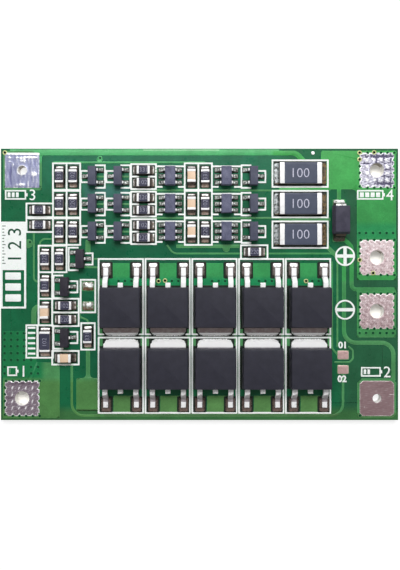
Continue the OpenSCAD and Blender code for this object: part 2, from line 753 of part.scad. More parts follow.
module bare_lands() color("#c9b6b0") translate([0, 0, z_foil]) linear_extrude(tin_t) {
    at([spare_place]) spare_lands();
    at(test_places) plate(test_size);
}

module terminal(t) color("#cfc4c8") difference() {
    union() {
        for (z = [0, z_foil]) translate([0, 0, z]) linear_extrude(tin_t) terminal_land(t);
        translate([t[1][0], t[1][1], 0]) cylinder(d = t[2] + 2 * plating, h = z_seat, $fn = 64);
    }
    translate([t[1][0], t[1][1], -1]) cylinder(d = t[2], h = z_seat + 2, $fn = 64);
}

// Power transistor: leads towards -Y, tab towards +Y

lead_mid = lead_z + tab_t / 2;

module fet_lead() across_x(lead_w) polygon(band(rounded([
    [lead_root - fet_w / 2, lead_mid],
    [-fet_w / 2 - lead_bends[0], lead_mid],
    [-fet_w / 2 - lead_bends[1], tab_t / 2],
    [-fet_foot, tab_t / 2]], 0.4), tab_t));

module fet_tab() {
    near = fet_w / 2 - paddle_l;
    linear_extrude(tab_t) polygon(cut_plate(tab_w, near, fet_tip, tab_chamfer));
    across_x(lead_w) polygon(band([
        [-fet_w / 2 - stub_l, lead_mid], [lead_root - fet_w / 2, lead_mid],
        [near + tab_bends[0], tab_t / 2], [near + tab_bends[1], tab_t / 2]], tab_t));
}

module fet_frame() color("#b9b6b4") {
    fet_tab();
    for (s = [-1, 1]) translate([s * lead_x, 0, 0]) fet_lead();
}

module fet_body() color("#333238") difference() {
    translate([0, 0, body_lift])
        moulding([fet_l, fet_w, fet_h - body_lift], lead_mid - body_lift);
    fet_frame();
}

module fet_solder() color("#d9d6d2") {
    linear_extrude(tin_t) {
        fet_lead_lands();
        fet_tab_land();
    }
    translate([0, 0, tin_t]) {
        for (s = [-1, 1]) translate([s * lead_x, -fet_foot, 0]) rotate(180)
            across_x(lead_w) polygon(toe(lead_land_out * toe_run, tab_t * toe_rise));
        translate([0, fet_tip, 0]) across_x(tab_w - 2 * tab_chamfer)
            polygon(toe(tab_land_out * toe_run, tab_t * toe_rise));
    }
}

// Rectangular chips, along X

module chip_core(size, cap, sleeve) {
    wall = sleeve ? cap_t : 0;
    block([size[0] - 2 * cap_t, size[1] - 2 * wall, size[2] - 2 * cap_t], z = cap_t);
}

// A resistor's glaze fills the gap between its ends
module chip_glaze(size, cap)
    block([size[0] - 2 * cap, size[1], cap_t], z = size[2] - cap_t);

module chip_ends(size, cap, sleeve) for (s = [-1, 1]) difference() {
    block([cap, size[1], size[2]], x = s * (size[0] - cap) / 2);
    chip_core(size, cap, sleeve);
}

module resistor_body(size, cap) {
    chip_core(size, cap, false);
    chip_glaze(size, cap);
}

module end_solder(size, cap) {
    linear_extrude(tin_t) chip_lands(size[0], size[1], cap);
    for (turn = [0, 180]) rotate(turn) translate([size[0] / 2, 0, tin_t])
        across_y(size[1] * toe_width) polygon(toe(land_out * toe_run, size[2] * toe_rise));
}

// Small packages: leads towards -X and +X

module small_block(width)
    translate([0, 0, small_lift]) moulding([width, small_l, small_h], small_h * small_parting);

small_lead_z = small_lift + small_h * small_parting;

module small_lead(width, y = 0) translate([0, y, 0]) across_y(small_lead_w) polygon(band(rounded([
    [width / 2 - small_root, small_lead_z],
    [width / 2 + small_bends[0], small_lead_z],
    [width / 2 + small_bends[1], small_lead_t / 2],
    [width / 2 + small_reach, small_lead_t / 2]], 0.1), small_lead_t));

module transistor_leads() {
    for (s = [-1, 1]) small_lead(small_w, s * small_lead_y);
    rotate(180) small_lead(small_w);
}

module control_leads() for (turn = [0, 180], y = [-1, 0, 1])
    rotate(turn) small_lead(control_w, y * small_lead_y);

module transistor_body() difference() {
    small_block(small_w);
    transistor_leads();
}

module control_body() difference() {
    small_block(control_w);
    control_leads();
}

module lead_toe(width, y = 0) translate([width / 2 + small_reach, y, tin_t])
    across_y(small_lead_w) polygon(toe(small_land_out * toe_run, small_lead_t));

module transistor_solder() {
    linear_extrude(tin_t) transistor_lands();
    for (s = [-1, 1]) lead_toe(small_w, s * small_lead_y);
    rotate(180) lead_toe(small_w);
}

module control_solder() {
    linear_extrude(tin_t) control_lands();
    for (turn = [0, 180], y = [-1, 0, 1]) rotate(turn) lead_toe(control_w, y * small_lead_y);
}

// Diode, along Y

module diode_lead() across_x(diode_lead_w) polygon(band(rounded([
    [diode_l / 2 - lead_root, diode_h / 2],
    [diode_foot - diode_lead_t / 2, diode_h / 2],
    [diode_foot - diode_lead_t / 2, diode_lead_t / 2],
    [diode_foot - diode_fold, diode_lead_t / 2]], 0.2), diode_lead_t));

module diode_body_shape() color("#3b3a42") difference() {
    translate([0, 0, diode_lead_t])
        moulding([diode_w, diode_l, diode_h - diode_lead_t], diode_h / 2 - diode_lead_t);
    for (turn = [0, 180]) rotate(turn) diode_lead();
}

module diode_solder_shape() color("#d9d6d2") {
    linear_extrude(tin_t) diode_lands();
    for (turn = [0, 180]) rotate(turn) translate([0, diode_foot, tin_t])
        across_x(diode_lead_w) polygon(toe(diode_land_out * toe_run, diode_h / 3));
}

sense_size = [sense_l, sense_w, sense_h];
resistor_size = [chip_l, chip_w, resistor_h];
large_size = [large_l, large_w, resistor_h];
capacitor_size = [chip_l, chip_w, capacitor_h];

laminate();
top_copper();
bottom_copper();
legend();
bare_lands();
for (t = terminals) terminal(t);
for (i = [1:2 * fet_count]) {
    seated([fet_places[i - 1]]) fet_body();
    seated([fet_places[i - 1]]) fet_frame();
}
seated(fet_places, z_foil) fet_solder();  // power_transistor_solder
for (i = [1:sense_count]) color("#4a4a58") seated([sense_places[i - 1]]) resistor_body(sense_size, sense_cap);
color("#e8e8ea") seated(sense_places) chip_ends(sense_size, sense_cap, false);  // sense_resistor_caps
color("#d9d6d2") seated(sense_places, z_foil) end_solder(sense_size, sense_cap);  // sense_resistor_solder
seated([diode_place]) diode_body_shape();  // diode_body
color("#cfcccb") seated([diode_place]) for (turn = [0, 180]) rotate(turn) diode_lead();  // diode_leads
seated([diode_place], z_foil) diode_solder_shape();  // diode_solder
for (i = [1:3]) {
    color("#4e4d5a")
        seated([protector_places[i - 1]]) control_body();
    color("#5a5968")
        seated([balancer_places[i - 1]]) control_body();
}
color("#dddcdc") seated(control_places) control_leads();  // controller_leads
color("#47454f") seated(transistor_places) transistor_body();  // small_transistor_bodies
color("#dddcdc") seated(transistor_places) transistor_leads();  // small_transistor_leads
color("#d9d6d2") {  // small_package_solder
    seated(transistor_places, z_foil) transistor_solder();
    seated(control_places, z_foil) control_solder();
}
color("#3d3b46") {  // resistor_bodies
    seated(resistor_places) resistor_body(resistor_size, chip_cap);
    seated([large_place]) resistor_body(large_size, chip_cap);
}
color("#e8e8ea") {  // resistor_caps
    seated(resistor_places) chip_ends(resistor_size, chip_cap, false);
    seated([large_place]) chip_ends(large_size, chip_cap, false);
}
color("#dcc3a5") seated(capacitor_places) chip_core(capacitor_size, chip_cap, true);  // capacitor_bodies
color("#e8e8ea") seated(capacitor_places) chip_ends(capacitor_size, chip_cap, true);  // capacitor_caps
color("#d9d6d2") {  // chip_solder
    seated(resistor_places, z_foil) end_solder(resistor_size, chip_cap);
    seated([large_place], z_foil) end_solder(large_size, chip_cap);
    seated(capacitor_places, z_foil) end_solder(capacitor_size, chip_cap);
}
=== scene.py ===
"""Battery management board for three cells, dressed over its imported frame.

The board lies flat and is seen from straight above. Sizes are written in millimetres and turned
into metres where a mesh is made, so every piece stands where the frame says.
"""
import logging
import math
from dataclasses import dataclass, replace
from enum import Enum
from functools import cache, reduce
from typing import Iterable, Mapping, Sequence

import bpy
import numpy as np
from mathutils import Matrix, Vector


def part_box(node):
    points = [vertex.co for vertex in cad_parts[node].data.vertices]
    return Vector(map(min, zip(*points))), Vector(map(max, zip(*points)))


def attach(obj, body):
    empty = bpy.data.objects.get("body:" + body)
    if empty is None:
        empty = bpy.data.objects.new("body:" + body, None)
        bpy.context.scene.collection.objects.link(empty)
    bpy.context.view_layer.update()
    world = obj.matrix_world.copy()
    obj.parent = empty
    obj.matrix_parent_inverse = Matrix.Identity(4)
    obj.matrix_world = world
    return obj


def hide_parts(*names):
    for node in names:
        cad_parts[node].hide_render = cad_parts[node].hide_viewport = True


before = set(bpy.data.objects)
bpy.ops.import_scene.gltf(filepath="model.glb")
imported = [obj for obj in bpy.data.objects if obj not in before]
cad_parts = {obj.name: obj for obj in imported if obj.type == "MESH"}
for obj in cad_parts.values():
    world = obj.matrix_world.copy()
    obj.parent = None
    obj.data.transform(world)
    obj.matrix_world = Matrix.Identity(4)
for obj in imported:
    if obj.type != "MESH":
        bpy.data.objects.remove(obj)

LOG = logging.getLogger("board")
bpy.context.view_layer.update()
MM = 0.001
ROOT = "root"
TONE = "tone"
WHITE = (1.0, 1.0, 1.0)
TINY = 1e-6                 # less than any length here
NOISE_BAND = (0.3, 0.7)     # where nearly all of a soft noise lies
FACE_BAND = (0.3, 0.7)      # how far a face looks up or down, from a cut edge to a level face
WAVE_RATE = 20              # radians that Blender's wave bands turn in one unit

Colour = tuple[float, float, float]
Place = tuple[float, float]
Profile = tuple[Place, ...]
Pairs = tuple[tuple[Place, Place], ...]
Socket = bpy.types.NodeSocket
Faces = list[tuple[int, ...]]


def rgb(red: float, green: float, blue: float) -> Colour:
    """Turns a screen colour into the linear colour that a shader takes.

    Args:
        red: Red, 0 to 255.
        green: Green, 0 to 255.
        blue: Blue, 0 to 255.

    Returns:
        The linear colour.
    """
    def line(value: float) -> float:
        """Linear value of one channel, by the screen's standard curve."""
        part = value / 255
        return part / 12.92 if part <= 0.04045 else ((part + 0.055) / 1.055) ** 2.4

    return line(red), line(green), line(blue)


# Levels of the board in millimetres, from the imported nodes

def level(node: str, top: bool = True) -> float:
    """Height of a node's top or underside in millimetres."""
    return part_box(node)[1 if top else 0].z / MM


@dataclass(frozen=True)
class Levels:
    """Heights of the board's layers."""

    under: float = level("terminal_load_plus", False)
    under_coat: float = level("bottom_copper", False)
    core: float = level("laminate")
    coat: float = level("top_copper")
    ink: float = level("legend")
    land: float = level("bare_lands")


LEVELS = Levels()


# Shaders

class Wiring:
    """Wires the nodes of one tree."""

    def __init__(self, tree: bpy.types.NodeTree) -> None:
        """Takes a tree and empties it."""
        self.tree = tree
        tree.nodes.clear()

    def put(self, socket: Socket, value: object) -> None:
        """Links a socket to another, or sets its own value.

        Args:
            socket: The socket that takes it.
            value: The other socket, or a number, colour or vector.
        """
        if isinstance(value, bpy.types.NodeSocket):
            self.tree.links.new(value, socket)
        else:
            socket.default_value = (*value, 1.0) if socket.type == "RGBA" else value

    def node(self, kind: str, inputs: Sequence[object] | Mapping[int | str, object] = (),
             **settings: object) -> bpy.types.Node:
        """Makes a node.

        Args:
            kind: Its type, without the word that all of them start with.
            inputs: What its sockets take, in their order or by number or name.
            **settings: Its own settings.

        Returns:
            The node.
        """
        node = self.tree.nodes.new(f"ShaderNode{kind}")
        for name, value in settings.items():
            setattr(node, name, value)
        for key, value in inputs.items() if isinstance(inputs, Mapping) else enumerate(inputs):
            self.put(node.inputs[key], value)
        return node

    def calc(self, work: str, *values: object, clamp: bool = False) -> Socket:
        """Output of a Math node with these inputs."""
        return self.node("Math", values, operation=work, use_clamp=clamp).outputs[0]

    def shift(self, work: str, *values: object) -> Socket:
        """Output of a Vector Math node with these inputs."""
        return self.node("VectorMath", values, operation=work).outputs[0]

    def axes(self, value: Socket) -> tuple[Socket, Socket, Socket]:
        """The three parts of a vector."""
        return tuple(self.node("SeparateXYZ", (value,)).outputs)

    def span(self, value: Socket, low: float, high: float, first: float, last: float) -> Socket:
        """Maps a value smoothly from one range to another, and holds it at the ends."""
        return self.node("MapRange", (value, low, high, first, last),
                         interpolation_type="SMOOTHSTEP").outputs[0]

    def mix(self, amount: Socket, first: object, second: object) -> Socket:
        """Value between two others."""
        return self.node("Mix", {0: amount, 2: first, 3: second}).outputs[0]

    def blend(self, amount: object, first: object, second: object, kind: str = "MIX") -> Socket:
        """Mixes two colours."""
        return self.node("Mix", {0: amount, 6: first, 7: second}, data_type="RGBA",
                         blend_type=kind).outputs[2]


class Recipe(Wiring):
    """Wires the shader of one finish, node by node."""

    def __init__(self, name: str) -> None:
        """Starts a material with an empty shader.

        Args:
            name: Name of the material.
        """
        self.material = bpy.data.materials.new(name)
        self.material.use_nodes = True
        super().__init__(self.material.node_tree)
        self.out = self.node("OutputMaterial")
        self.shader = self.node("BsdfPrincipled")
        self.put(self.out.inputs["Surface"], self.shader.outputs[0])
        self.place = self.node("TexCoord").outputs["Object"]

    def set(self, **values: object) -> None:
        """Sets the shader's sockets; an underscore in a name stands for a space."""
        for name, value in values.items():
            self.put(self.shader.inputs[name.replace("_", " ")], value)

    def normal(self, smooth: bool = False) -> tuple[Socket, Socket, Socket]:
        """The three parts of the surface's direction."""
        return self.axes(self.node("NewGeometry").outputs["Normal" if smooth else "True Normal"])

    def tone(self) -> Socket:
        """Tone that a mesh carries at each point, from 0 in a groove to 1 on a crest."""
        return self.node("Attribute", attribute_name=TONE).outputs["Fac"]

    def noise(self, size: float, detail: float = 2.0, stretch: Sequence[float] = (1, 1, 1),
              seed: float = 0.0) -> Socket:
        """Soft noise over the surface.

        Args:
            size: Width of a grain in millimetres.
            detail: Octaves of finer grain.
            stretch: How much the pattern is squeezed along each axis.
            seed: Moves the pattern to another part of the noise.

        Returns:
            A value from 0 to 1 with its middle at 0.5.
        """
        placed = self.shift("MULTIPLY", self.place, tuple(stretch))
        return self.node("TexNoise", {"Vector": self.shift("ADD", placed, (seed, seed, seed)),
                                      "Scale": 1 / (size * MM), "Detail": detail}).outputs[0]

    def vary(self, low: float, high: float, size: float, detail: float = 2.0,
             seed: float = 0.0) -> Socket:
        """Value that wanders between low and high over the surface, by soft noise."""
        return self.span(self.noise(size, detail, seed=seed), *NOISE_BAND, low, high)

    def weave(self, pitch: float) -> Socket:
        """Relief of a cloth's crossing threads.

        Args:
            pitch: Distance between threads in millimetres.

        Returns:
            The height, 0 to 1.
        """
        bands = {"Vector": self.place, "Scale": 1 / (pitch * MM * WAVE_RATE) * math.tau,
                 "Distortion": 0.6, "Detail Scale": 0.8}
        return self.calc("MULTIPLY", *(
            self.node("TexWave", bands, bands_direction=along).outputs["Fac"] for along in "XY"))

    def zone(self, low: Place, high: Place, soft: float) -> Socket:
        """One inside a box of the board, and nought past its soft border.

        Args:
            low: Lower corner in millimetres.
            high: Upper corner in millimetres.
            soft: Width of the border in millimetres.

        Returns:
            A value from 0 to 1.
        """
        middle = tuple((a + b) / 2 * MM for a, b in zip(low, high))
        half = tuple((b - a) / 2 * MM for a, b in zip(low, high))
        away = self.shift("ABSOLUTE", self.shift("SUBTRACT", self.place, (*middle, 0.0)))
        x, y, _ = self.axes(self.shift("SUBTRACT", away, (*half, 0.0)))
        edge = soft * MM / 2
        return self.span(self.calc("MAXIMUM", x, y), -edge, edge, 1.0, 0.0)

    def bump(self, height: Socket, depth: float) -> Socket:
        """Surface direction of a relief, depth in millimetres."""
        return self.node("Bump", {"Strength": 1.0, "Distance": depth * MM,
                                  "Height": height}).outputs[0]


@dataclass(frozen=True)
class Zone:
    """Part of the board where a finish takes another tint: its own colour there, or painted light
    falloff, shade, reflection or highlight.
    """

    low: Place
    high: Place
    soft: float
    colour: Colour

    def lit(self, gain: float) -> "Zone":
        """The same part in a lighter tint."""
        return replace(self, colour=tuple(min(1.0, part * gain) for part in self.colour))

    def tint(self, recipe: Recipe, colour: object, own: object) -> Socket:
        """The colour outside the part, and its own inside."""
        return recipe.blend(recipe.zone(self.low, self.high, self.soft), colour, own)


MIXED: dict[str, bpy.types.Material] = {}


@dataclass(frozen=True)
class Finish:
    """Finish of one kind of surface."""

    name: str

    def wire(self, recipe: Recipe) -> None:
        """Wires the finish's shader."""
        raise NotImplementedError

    def material(self) -> bpy.types.Material:
        """Mixes the finish's material when it is first asked for.

        Returns:
            The material.
        """
        if self.name not in MIXED:
            recipe = Recipe(self.name)
            self.wire(recipe)
            MIXED[self.name] = recipe.material
        return MIXED[self.name]


@dataclass(frozen=True)
class GreenCoat(Finish):
    """Green coat, on bare glass fibre or on copper, with the tints of its parts, some of them
    partly painted light falloff.
    """

    colour: Colour
    zones: tuple[Zone, ...] = ()
    gloss: float = 0.32
    gloss_range: Place = (-0.05, 0.08)
    cut_edge: bool = False
    cut_roughness: float = 0.3
    cloth_pitch: float = 0.5
    cloth_share: float = 0.35
    cloth_depth: float = 0.006
    mottle: Place = (0.79, 0.98)
    mottle_size: float = 2.4
    grain: Place = (0.93, 1.07)
    grain_size: float = 0.22
    fibre: Colour = rgb(96, 128, 74)
    pale_fibre: Colour = rgb(158, 172, 112)

    def wire(self, recipe: Recipe) -> None:
        """Wires tints, mottle, cloth relief and the cut edge's fibre.

        Args:
            recipe: The shader that takes them.
        """
        colour: object = self.colour
        for zone in self.zones:
            colour = zone.tint(recipe, colour, zone.colour)
        shade = recipe.calc("MULTIPLY", recipe.vary(*self.mottle, self.mottle_size, 3.0),
                            recipe.vary(*self.grain, self.grain_size))
        grey = recipe.node("CombineColor", (shade, shade, shade)).outputs[0]
        colour = recipe.blend(1.0, colour, grey, "MULTIPLY")
        threads = recipe.calc("MULTIPLY", recipe.weave(self.cloth_pitch), self.cloth_share)
        relief = recipe.calc("ADD", threads, recipe.noise(0.35))
        rough = recipe.vary(*(self.gloss + part for part in self.gloss_range), 0.8, seed=3.0)
        if self.cut_edge:
            _, _, up = recipe.normal()
            side = recipe.span(recipe.calc("ABSOLUTE", up), *FACE_BAND, 1.0, 0.0)
            layers = recipe.noise(0.16, 3.0, stretch=(0.12, 0.12, 1.0))
            cloth = recipe.blend(recipe.span(layers, 0.35, 0.65, 0.0, 1.0), self.fibre,
                                 self.pale_fibre)
            colour = recipe.blend(side, colour, cloth)
            rough = recipe.calc("ADD", rough, recipe.calc("MULTIPLY", side, self.cut_roughness),
                                clamp=True)
        recipe.set(Base_Color=colour, Roughness=rough, Specular_IOR_Level=0.22,
                   Normal=recipe.bump(relief, self.cloth_depth))


@dataclass(frozen=True)
class Ink(Finish):
    """Printed ink: slightly uneven, with pinholes."""

    colour: Colour = rgb(252, 255, 253)
    worn: Colour = rgb(222, 242, 226)
    wear: float = 0.75
    pinhole: float = 0.16
    rough: Place = (0.5, 0.62)

    def wire(self, recipe: Recipe) -> None:
        """Wires the ink's thin places and its dull surface.

        Args:
            recipe: The shader that takes them.
        """
        thin = recipe.span(recipe.noise(self.pinhole, 3.0), 0.52, 0.74, 0.0, self.wear)
        recipe.set(Base_Color=recipe.blend(thin, self.colour, self.worn), Specular_IOR_Level=0.2,
                   Roughness=recipe.span(thin, 0.0, 1.0, *self.rough),
                   Normal=recipe.bump(recipe.noise(0.12), 0.004))


@dataclass(frozen=True)
class Tin(Finish):
    """Tinned or soldered metal with grain, tarnish and flux stains.

    The valley and crest tints follow the tone that a mesh carries. The slope tints are painted
    shade, on solder partly with flux: on slopes that face -Y and +X, away from the key light, on
    side slopes and on the steepest ones. The foot tint lies up to a height on a lead.
    """

    colour: Colour
    stain: Colour
    stained: float = 0.35
    stain_size: float = 0.5
    stain_band: Place = (0.42, 0.68)
    rough: float = 0.38
    spread: float = 0.1
    grain: float = 0.14
    relief: float = 0.01
    metallic: float = 0.4
    streak: tuple[float, float, float] = (1.0, 1.0, 1.0)
    zones: tuple[Zone, ...] = ()
    valley: Colour | None = None
    crest: Colour = WHITE
    burnt: Colour | None = None
    burnt_from: float = 0.0
    burnt_band: Place = (-0.22, 0.02)
    burnt_share: float = 0.85
    lean: float = 0.45
    flank: Colour | None = None
    flank_band: Place = (0.12, 0.4)
    flank_share: float = 0.9
    steep: Colour | None = None
    steep_up: Place = (0.35, 0.75)
    foot: Colour | None = None
    foot_fleck: Colour = rgb(226, 230, 226)
    foot_below: float = 1.42
    foot_soft: float = 0.06

    def wire(self, recipe: Recipe) -> None:
        """Wires stains, grain and relief, then the tones of slopes, grooves and crests.

        Args:
            recipe: The shader that takes them.
        """
        spots = recipe.noise(self.stain_size, 3.0, stretch=self.streak)
        amount = recipe.span(spots, *self.stain_band, 0.0, self.stained)
        colour: object = recipe.blend(amount, self.colour, self.stain)
        for zone in self.zones:
            colour = zone.tint(recipe, colour, recipe.blend(amount, zone.colour, self.stain))
        if self.valley is not None:
            tone = recipe.tone()
            colour = recipe.blend(recipe.span(tone, 0.0, 0.5, 1.0, 0.0), colour, self.valley)
            colour = recipe.blend(recipe.span(tone, 0.5, 1.0, 0.0, 1.0), colour, self.crest)
        if self.foot is not None:
            colour = self.wetted(recipe, colour)
        # Slope tints: painted shade, on solder partly flux.
        if self.burnt is not None:
            colour = self.heat(recipe, colour, spots)
        grit = recipe.noise(self.grain, 3.0, stretch=self.streak, seed=9.0)
        recipe.set(Base_Color=colour, Metallic=self.metallic,
                   Roughness=recipe.vary(self.rough - self.spread, self.rough + self.spread,
                                         self.grain * 3, seed=5.0),
                   Normal=recipe.bump(grit, self.relief))

    def heat(self, recipe: Recipe, colour: object, spots: Socket) -> Socket:
        """Paints shade, on solder partly flux, on slopes that fall towards -Y and +X, on side
        slopes and on the steepest ones.

        Args:
            recipe: The shader that takes the tint.
            colour: The colour so far.
            spots: Noise that makes the border ragged.

        Returns:
            The colour with its browned slopes.
        """
        x, y, up = recipe.normal(smooth=True)
        away = recipe.calc("SUBTRACT", y, recipe.calc("MULTIPLY", x, self.lean))
        away = recipe.calc("ADD", away, recipe.span(spots, *NOISE_BAND, -0.12, 0.12))
        band = (self.burnt_from + part for part in self.burnt_band)
        amount = recipe.span(away, *band, self.burnt_share, 0.0)
        mixed = recipe.blend(amount, colour, self.burnt)
        if self.flank is not None:
            side = recipe.span(recipe.calc("ABSOLUTE", x), *self.flank_band, 0.0,
                               self.flank_share)
            mixed = recipe.blend(side, mixed, self.flank)
        if self.steep is not None:
            side = recipe.span(up, *self.steep_up, self.burnt_share, 0.0)
            mixed = recipe.blend(side, mixed, self.steep)
        return mixed

    def wetted(self, recipe: Recipe, colour: object) -> Socket:
        """Tints a lead's foot, where mottled solder has crept over it.

        Args:
            recipe: The shader that takes the tint.
            colour: The colour so far.

        Returns:
            The colour with its tinted foot.
        """
        _, _, z = recipe.axes(recipe.place)
        low = recipe.span(z, (self.foot_below - self.foot_soft) * MM,
                          (self.foot_below + self.foot_soft) * MM, 1.0, 0.0)
        fleck = recipe.span(recipe.noise(0.26, seed=4.0), 0.5, 0.6, 0.0, 1.0)
        return recipe.blend(low, colour, recipe.blend(fleck, self.foot, self.foot_fleck))


@dataclass(frozen=True)
class Moulding(Finish):
    """Moulding compound: dark, finely grained, with a little filler showing."""

    colour: Colour
    filler: Colour
    speckle: float = 0.3
    cloud: float = 0.35
    cloud_size: float = 1.3
    rough: float = 0.52
    spread: float = 0.06
    grain: float = 0.09
    relief: float = 0.008

    def wire(self, recipe: Recipe) -> None:
        """Wires the compound's filler and its matt grain.

        Args:
            recipe: The shader that takes them.
        """
        fine = recipe.noise(self.grain, 3.0)
        cloud = recipe.vary(0.0, self.cloud, self.cloud_size, 3.0, 2.0)
        base = recipe.blend(cloud, self.colour, self.filler)
        colour = recipe.blend(recipe.span(fine, 0.5, 0.72, 0.0, self.speckle), base, self.filler)
        rough = recipe.vary(self.rough - self.spread, self.rough + self.spread, 0.6, seed=7.0)
        recipe.set(Base_Color=colour, Roughness=rough, Specular_IOR_Level=0.25,
                   Normal=recipe.bump(fine, self.relief))


@dataclass(frozen=True)
class Ceramic(Finish):
    """Fired ceramic of a chip's core."""

    colour: Colour
    dark: Colour
    speckle: float = 0.7
    rough: Place = (0.32, 0.48)
    grain: float = 0.13
    relief: float = 0.006

    def wire(self, recipe: Recipe) -> None:
        """Wires the ceramic's fine spots.

        Args:
            recipe: The shader that takes them.
        """
        fine = recipe.noise(self.grain, 3.0)
        spots = recipe.span(fine, 0.45, 0.72, 0.0, self.speckle)
        recipe.set(Base_Color=recipe.blend(spots, self.colour, self.dark),
                   Roughness=recipe.span(fine, *NOISE_BAND, *self.rough),
                   Normal=recipe.bump(fine, self.relief))


@dataclass(frozen=True)
class Sheet(Finish):
    """Pale sheet that the board lies on; it shows white and keeps the shadow."""

    colour: Colour = (0.32, 0.32, 0.32)
    lift: float = 0.78
    covered: Colour = (0.96, 0.94, 0.88)
    covered_lift: float = 0.14
    wells: Pairs = (((-30, -20), (-20, -12)), ((20, -8), (30, 8)), ((20, 12), (30, 20)))
    well_border: float = 1.0
    rough: Place = (0.52, 0.6)
    fibre: float = 3.0

    def wire(self, recipe: Recipe) -> None:
        """Wires the sheet's shade, its white for the camera, and its open underside.

        Below the wide holes, where it shows only through them, it keeps its full shadow.

        Args:
            recipe: The shader that takes them.
        """
        under = reduce(lambda first, second: recipe.calc("MAXIMUM", first, second),
                       [recipe.zone(*well, self.well_border) for well in self.wells])
        path = recipe.node("LightPath").outputs
        seen = recipe.calc("MAXIMUM", path["Is Camera Ray"], path["Is Glossy Ray"])
        seen = recipe.calc("MAXIMUM", seen, path["Is Transmission Ray"])
        lift = recipe.span(under, 0.0, 1.0, self.lift, self.covered_lift)
        recipe.set(Base_Color=recipe.blend(under, self.colour, self.covered),
                   Roughness=recipe.vary(*self.rough, self.fibre), Emission_Color=WHITE,
                   Emission_Strength=recipe.calc("MULTIPLY", seen, lift))
        back = recipe.node("NewGeometry").outputs["Backfacing"]
        clear = recipe.node("BsdfTransparent").outputs[0]
        side = recipe.node("MixShader", (back, recipe.shader.outputs[0], clear))
        recipe.put(recipe.out.inputs["Surface"], side.outputs[0])


# Meshes

def circle(radius: float, height: float, count: int, middle: Place) -> np.ndarray:
    """Ring of points on a level circle.

    Args:
        radius: The circle's radius.
        height: Its height.
        count: Number of points.
        middle: Its middle.

    Returns:
        The points, counterclockwise from the right side.
    """
    turn = np.arange(count) * (math.tau / count)
    return np.stack([middle[0] + radius * np.cos(turn), middle[1] + radius * np.sin(turn),
                     np.full(count, height)], 1)


def rounded_ring(half: Place, corner: float, height: float, middle: Place = (0.0, 0.0),
                 steps: int = 4) -> np.ndarray:
    """Ring of points on a level rectangle with round corners.

    Args:
        half: Half of its size along X and Y.
        corner: Radius of its corners.
        height: Its height.
        middle: Its middle.
        steps: Number of edges in a corner's arc.

    Returns:
        The points, counterclockwise from the right side.
    """
    corner = min(corner, half[0] * 0.98, half[1] * 0.98)
    points = []
    for quarter, (sx, sy) in enumerate(((1, 1), (-1, 1), (-1, -1), (1, -1))):
        for step in range(steps + 1):
            turn = math.radians(90 * quarter + 90 * step / steps)
            points.append((middle[0] + sx * (half[0] - corner) + corner * math.cos(turn),
                           middle[1] + sy * (half[1] - corner) + corner * math.sin(turn), height))
    return np.array(points)


def inset_rings(half: Place, middle: Place, profile: Iterable[Place], corner: float,
                steps: int = 4) -> list[np.ndarray]:
    """Rounded rings drawn in from one outline.

    Args:
        half: Half of the outline's size along X and Y.
        middle: Its middle.
        profile: How far each ring is drawn in, and its height.
        corner: Radius of the corners.
        steps: Number of edges in a corner's arc.

    Returns:
        The rings.
    """
    return [rounded_ring((half[0] - inset, half[1] - inset), corner, z, middle, steps)
            for inset, z in profile]


def ripple(x: np.ndarray, y: np.ndarray, size: float, seed: float = 0.0) -> np.ndarray:
    """Smooth uneven value over the board, about -1 to 1: five crossing waves.

    Args:
        x: Places along X in millimetres.
        y: Places along Y in millimetres.
        size: Width of a wave in millimetres.
        seed: Moves the pattern.

    Returns:
        The value at each place.
    """
    total = np.zeros_like(x)
    for index in range(5):
        turn = 2.399 * index + seed
        rate = math.tau / size * (0.7 + 0.23 * index)
        total += np.sin((x * math.cos(turn) + y * math.sin(turn)) * rate + seed * 5.1 + index * 1.7)
    return total / 3.2


def hill(value: np.ndarray, middle: float, width: float) -> np.ndarray:
    """Soft hill, 1 where the value is at its middle."""
    return np.exp(-((value - middle) / width) ** 2)


def spot(x: np.ndarray, y: np.ndarray, place: Place, reach: Place, lean: float = 0.0
         ) -> np.ndarray:
    """Soft oval spot, 1 in its middle.

    Args:
        x: Places along X.
        y: Places along Y.
        place: The spot's middle.
        reach: Its half-widths along X and Y.
        lean: How far it leans along X for each step along Y.

    Returns:
        The spot's strength at each place.
    """
    across = (x - place[0] - lean * (y - place[1])) / reach[0]
    return np.exp(-across ** 2 - ((y - place[1]) / reach[1]) ** 2)


def quarter_round(edge: np.ndarray, width: float) -> np.ndarray:
    """Rise of a rounded border, 0 at its outline and 1 from its width inwards."""
    return np.sqrt(np.clip(1 - (1 - np.clip(edge / width, 0, 1)) ** 2, 0, 1))


def squared(s: np.ndarray, t: np.ndarray, power: int) -> tuple[np.ndarray, np.ndarray]:
    """Turns a square of points from -1 to 1 into one with round corners.

    Args:
        s: Places along the first side.
        t: Places along the second.
        power: How tight the corners are.

    Returns:
        How far out each point lies, 1 at the outline, and the factor that draws it in.
    """
    most = np.maximum(np.abs(s), np.abs(t))
    return most, most / np.maximum((np.abs(s) ** power + np.abs(t) ** power) ** (1 / power), TINY)


def nearest(value: np.ndarray, start: float, pitch: float) -> np.ndarray:
    """Signed distance to the nearest of the places start, start + pitch and so on."""
    return (value - start + pitch / 2) % pitch - pitch / 2


def stand(name: str, data: bpy.types.ID) -> bpy.types.Object:
    """Stands an object in the scene.

    Args:
        name: Its name.
        data: Its mesh, light, camera or text.

    Returns:
        The object, at the origin.
    """
    piece = bpy.data.objects.new(name, data)
    bpy.context.scene.collection.objects.link(piece)
    return piece


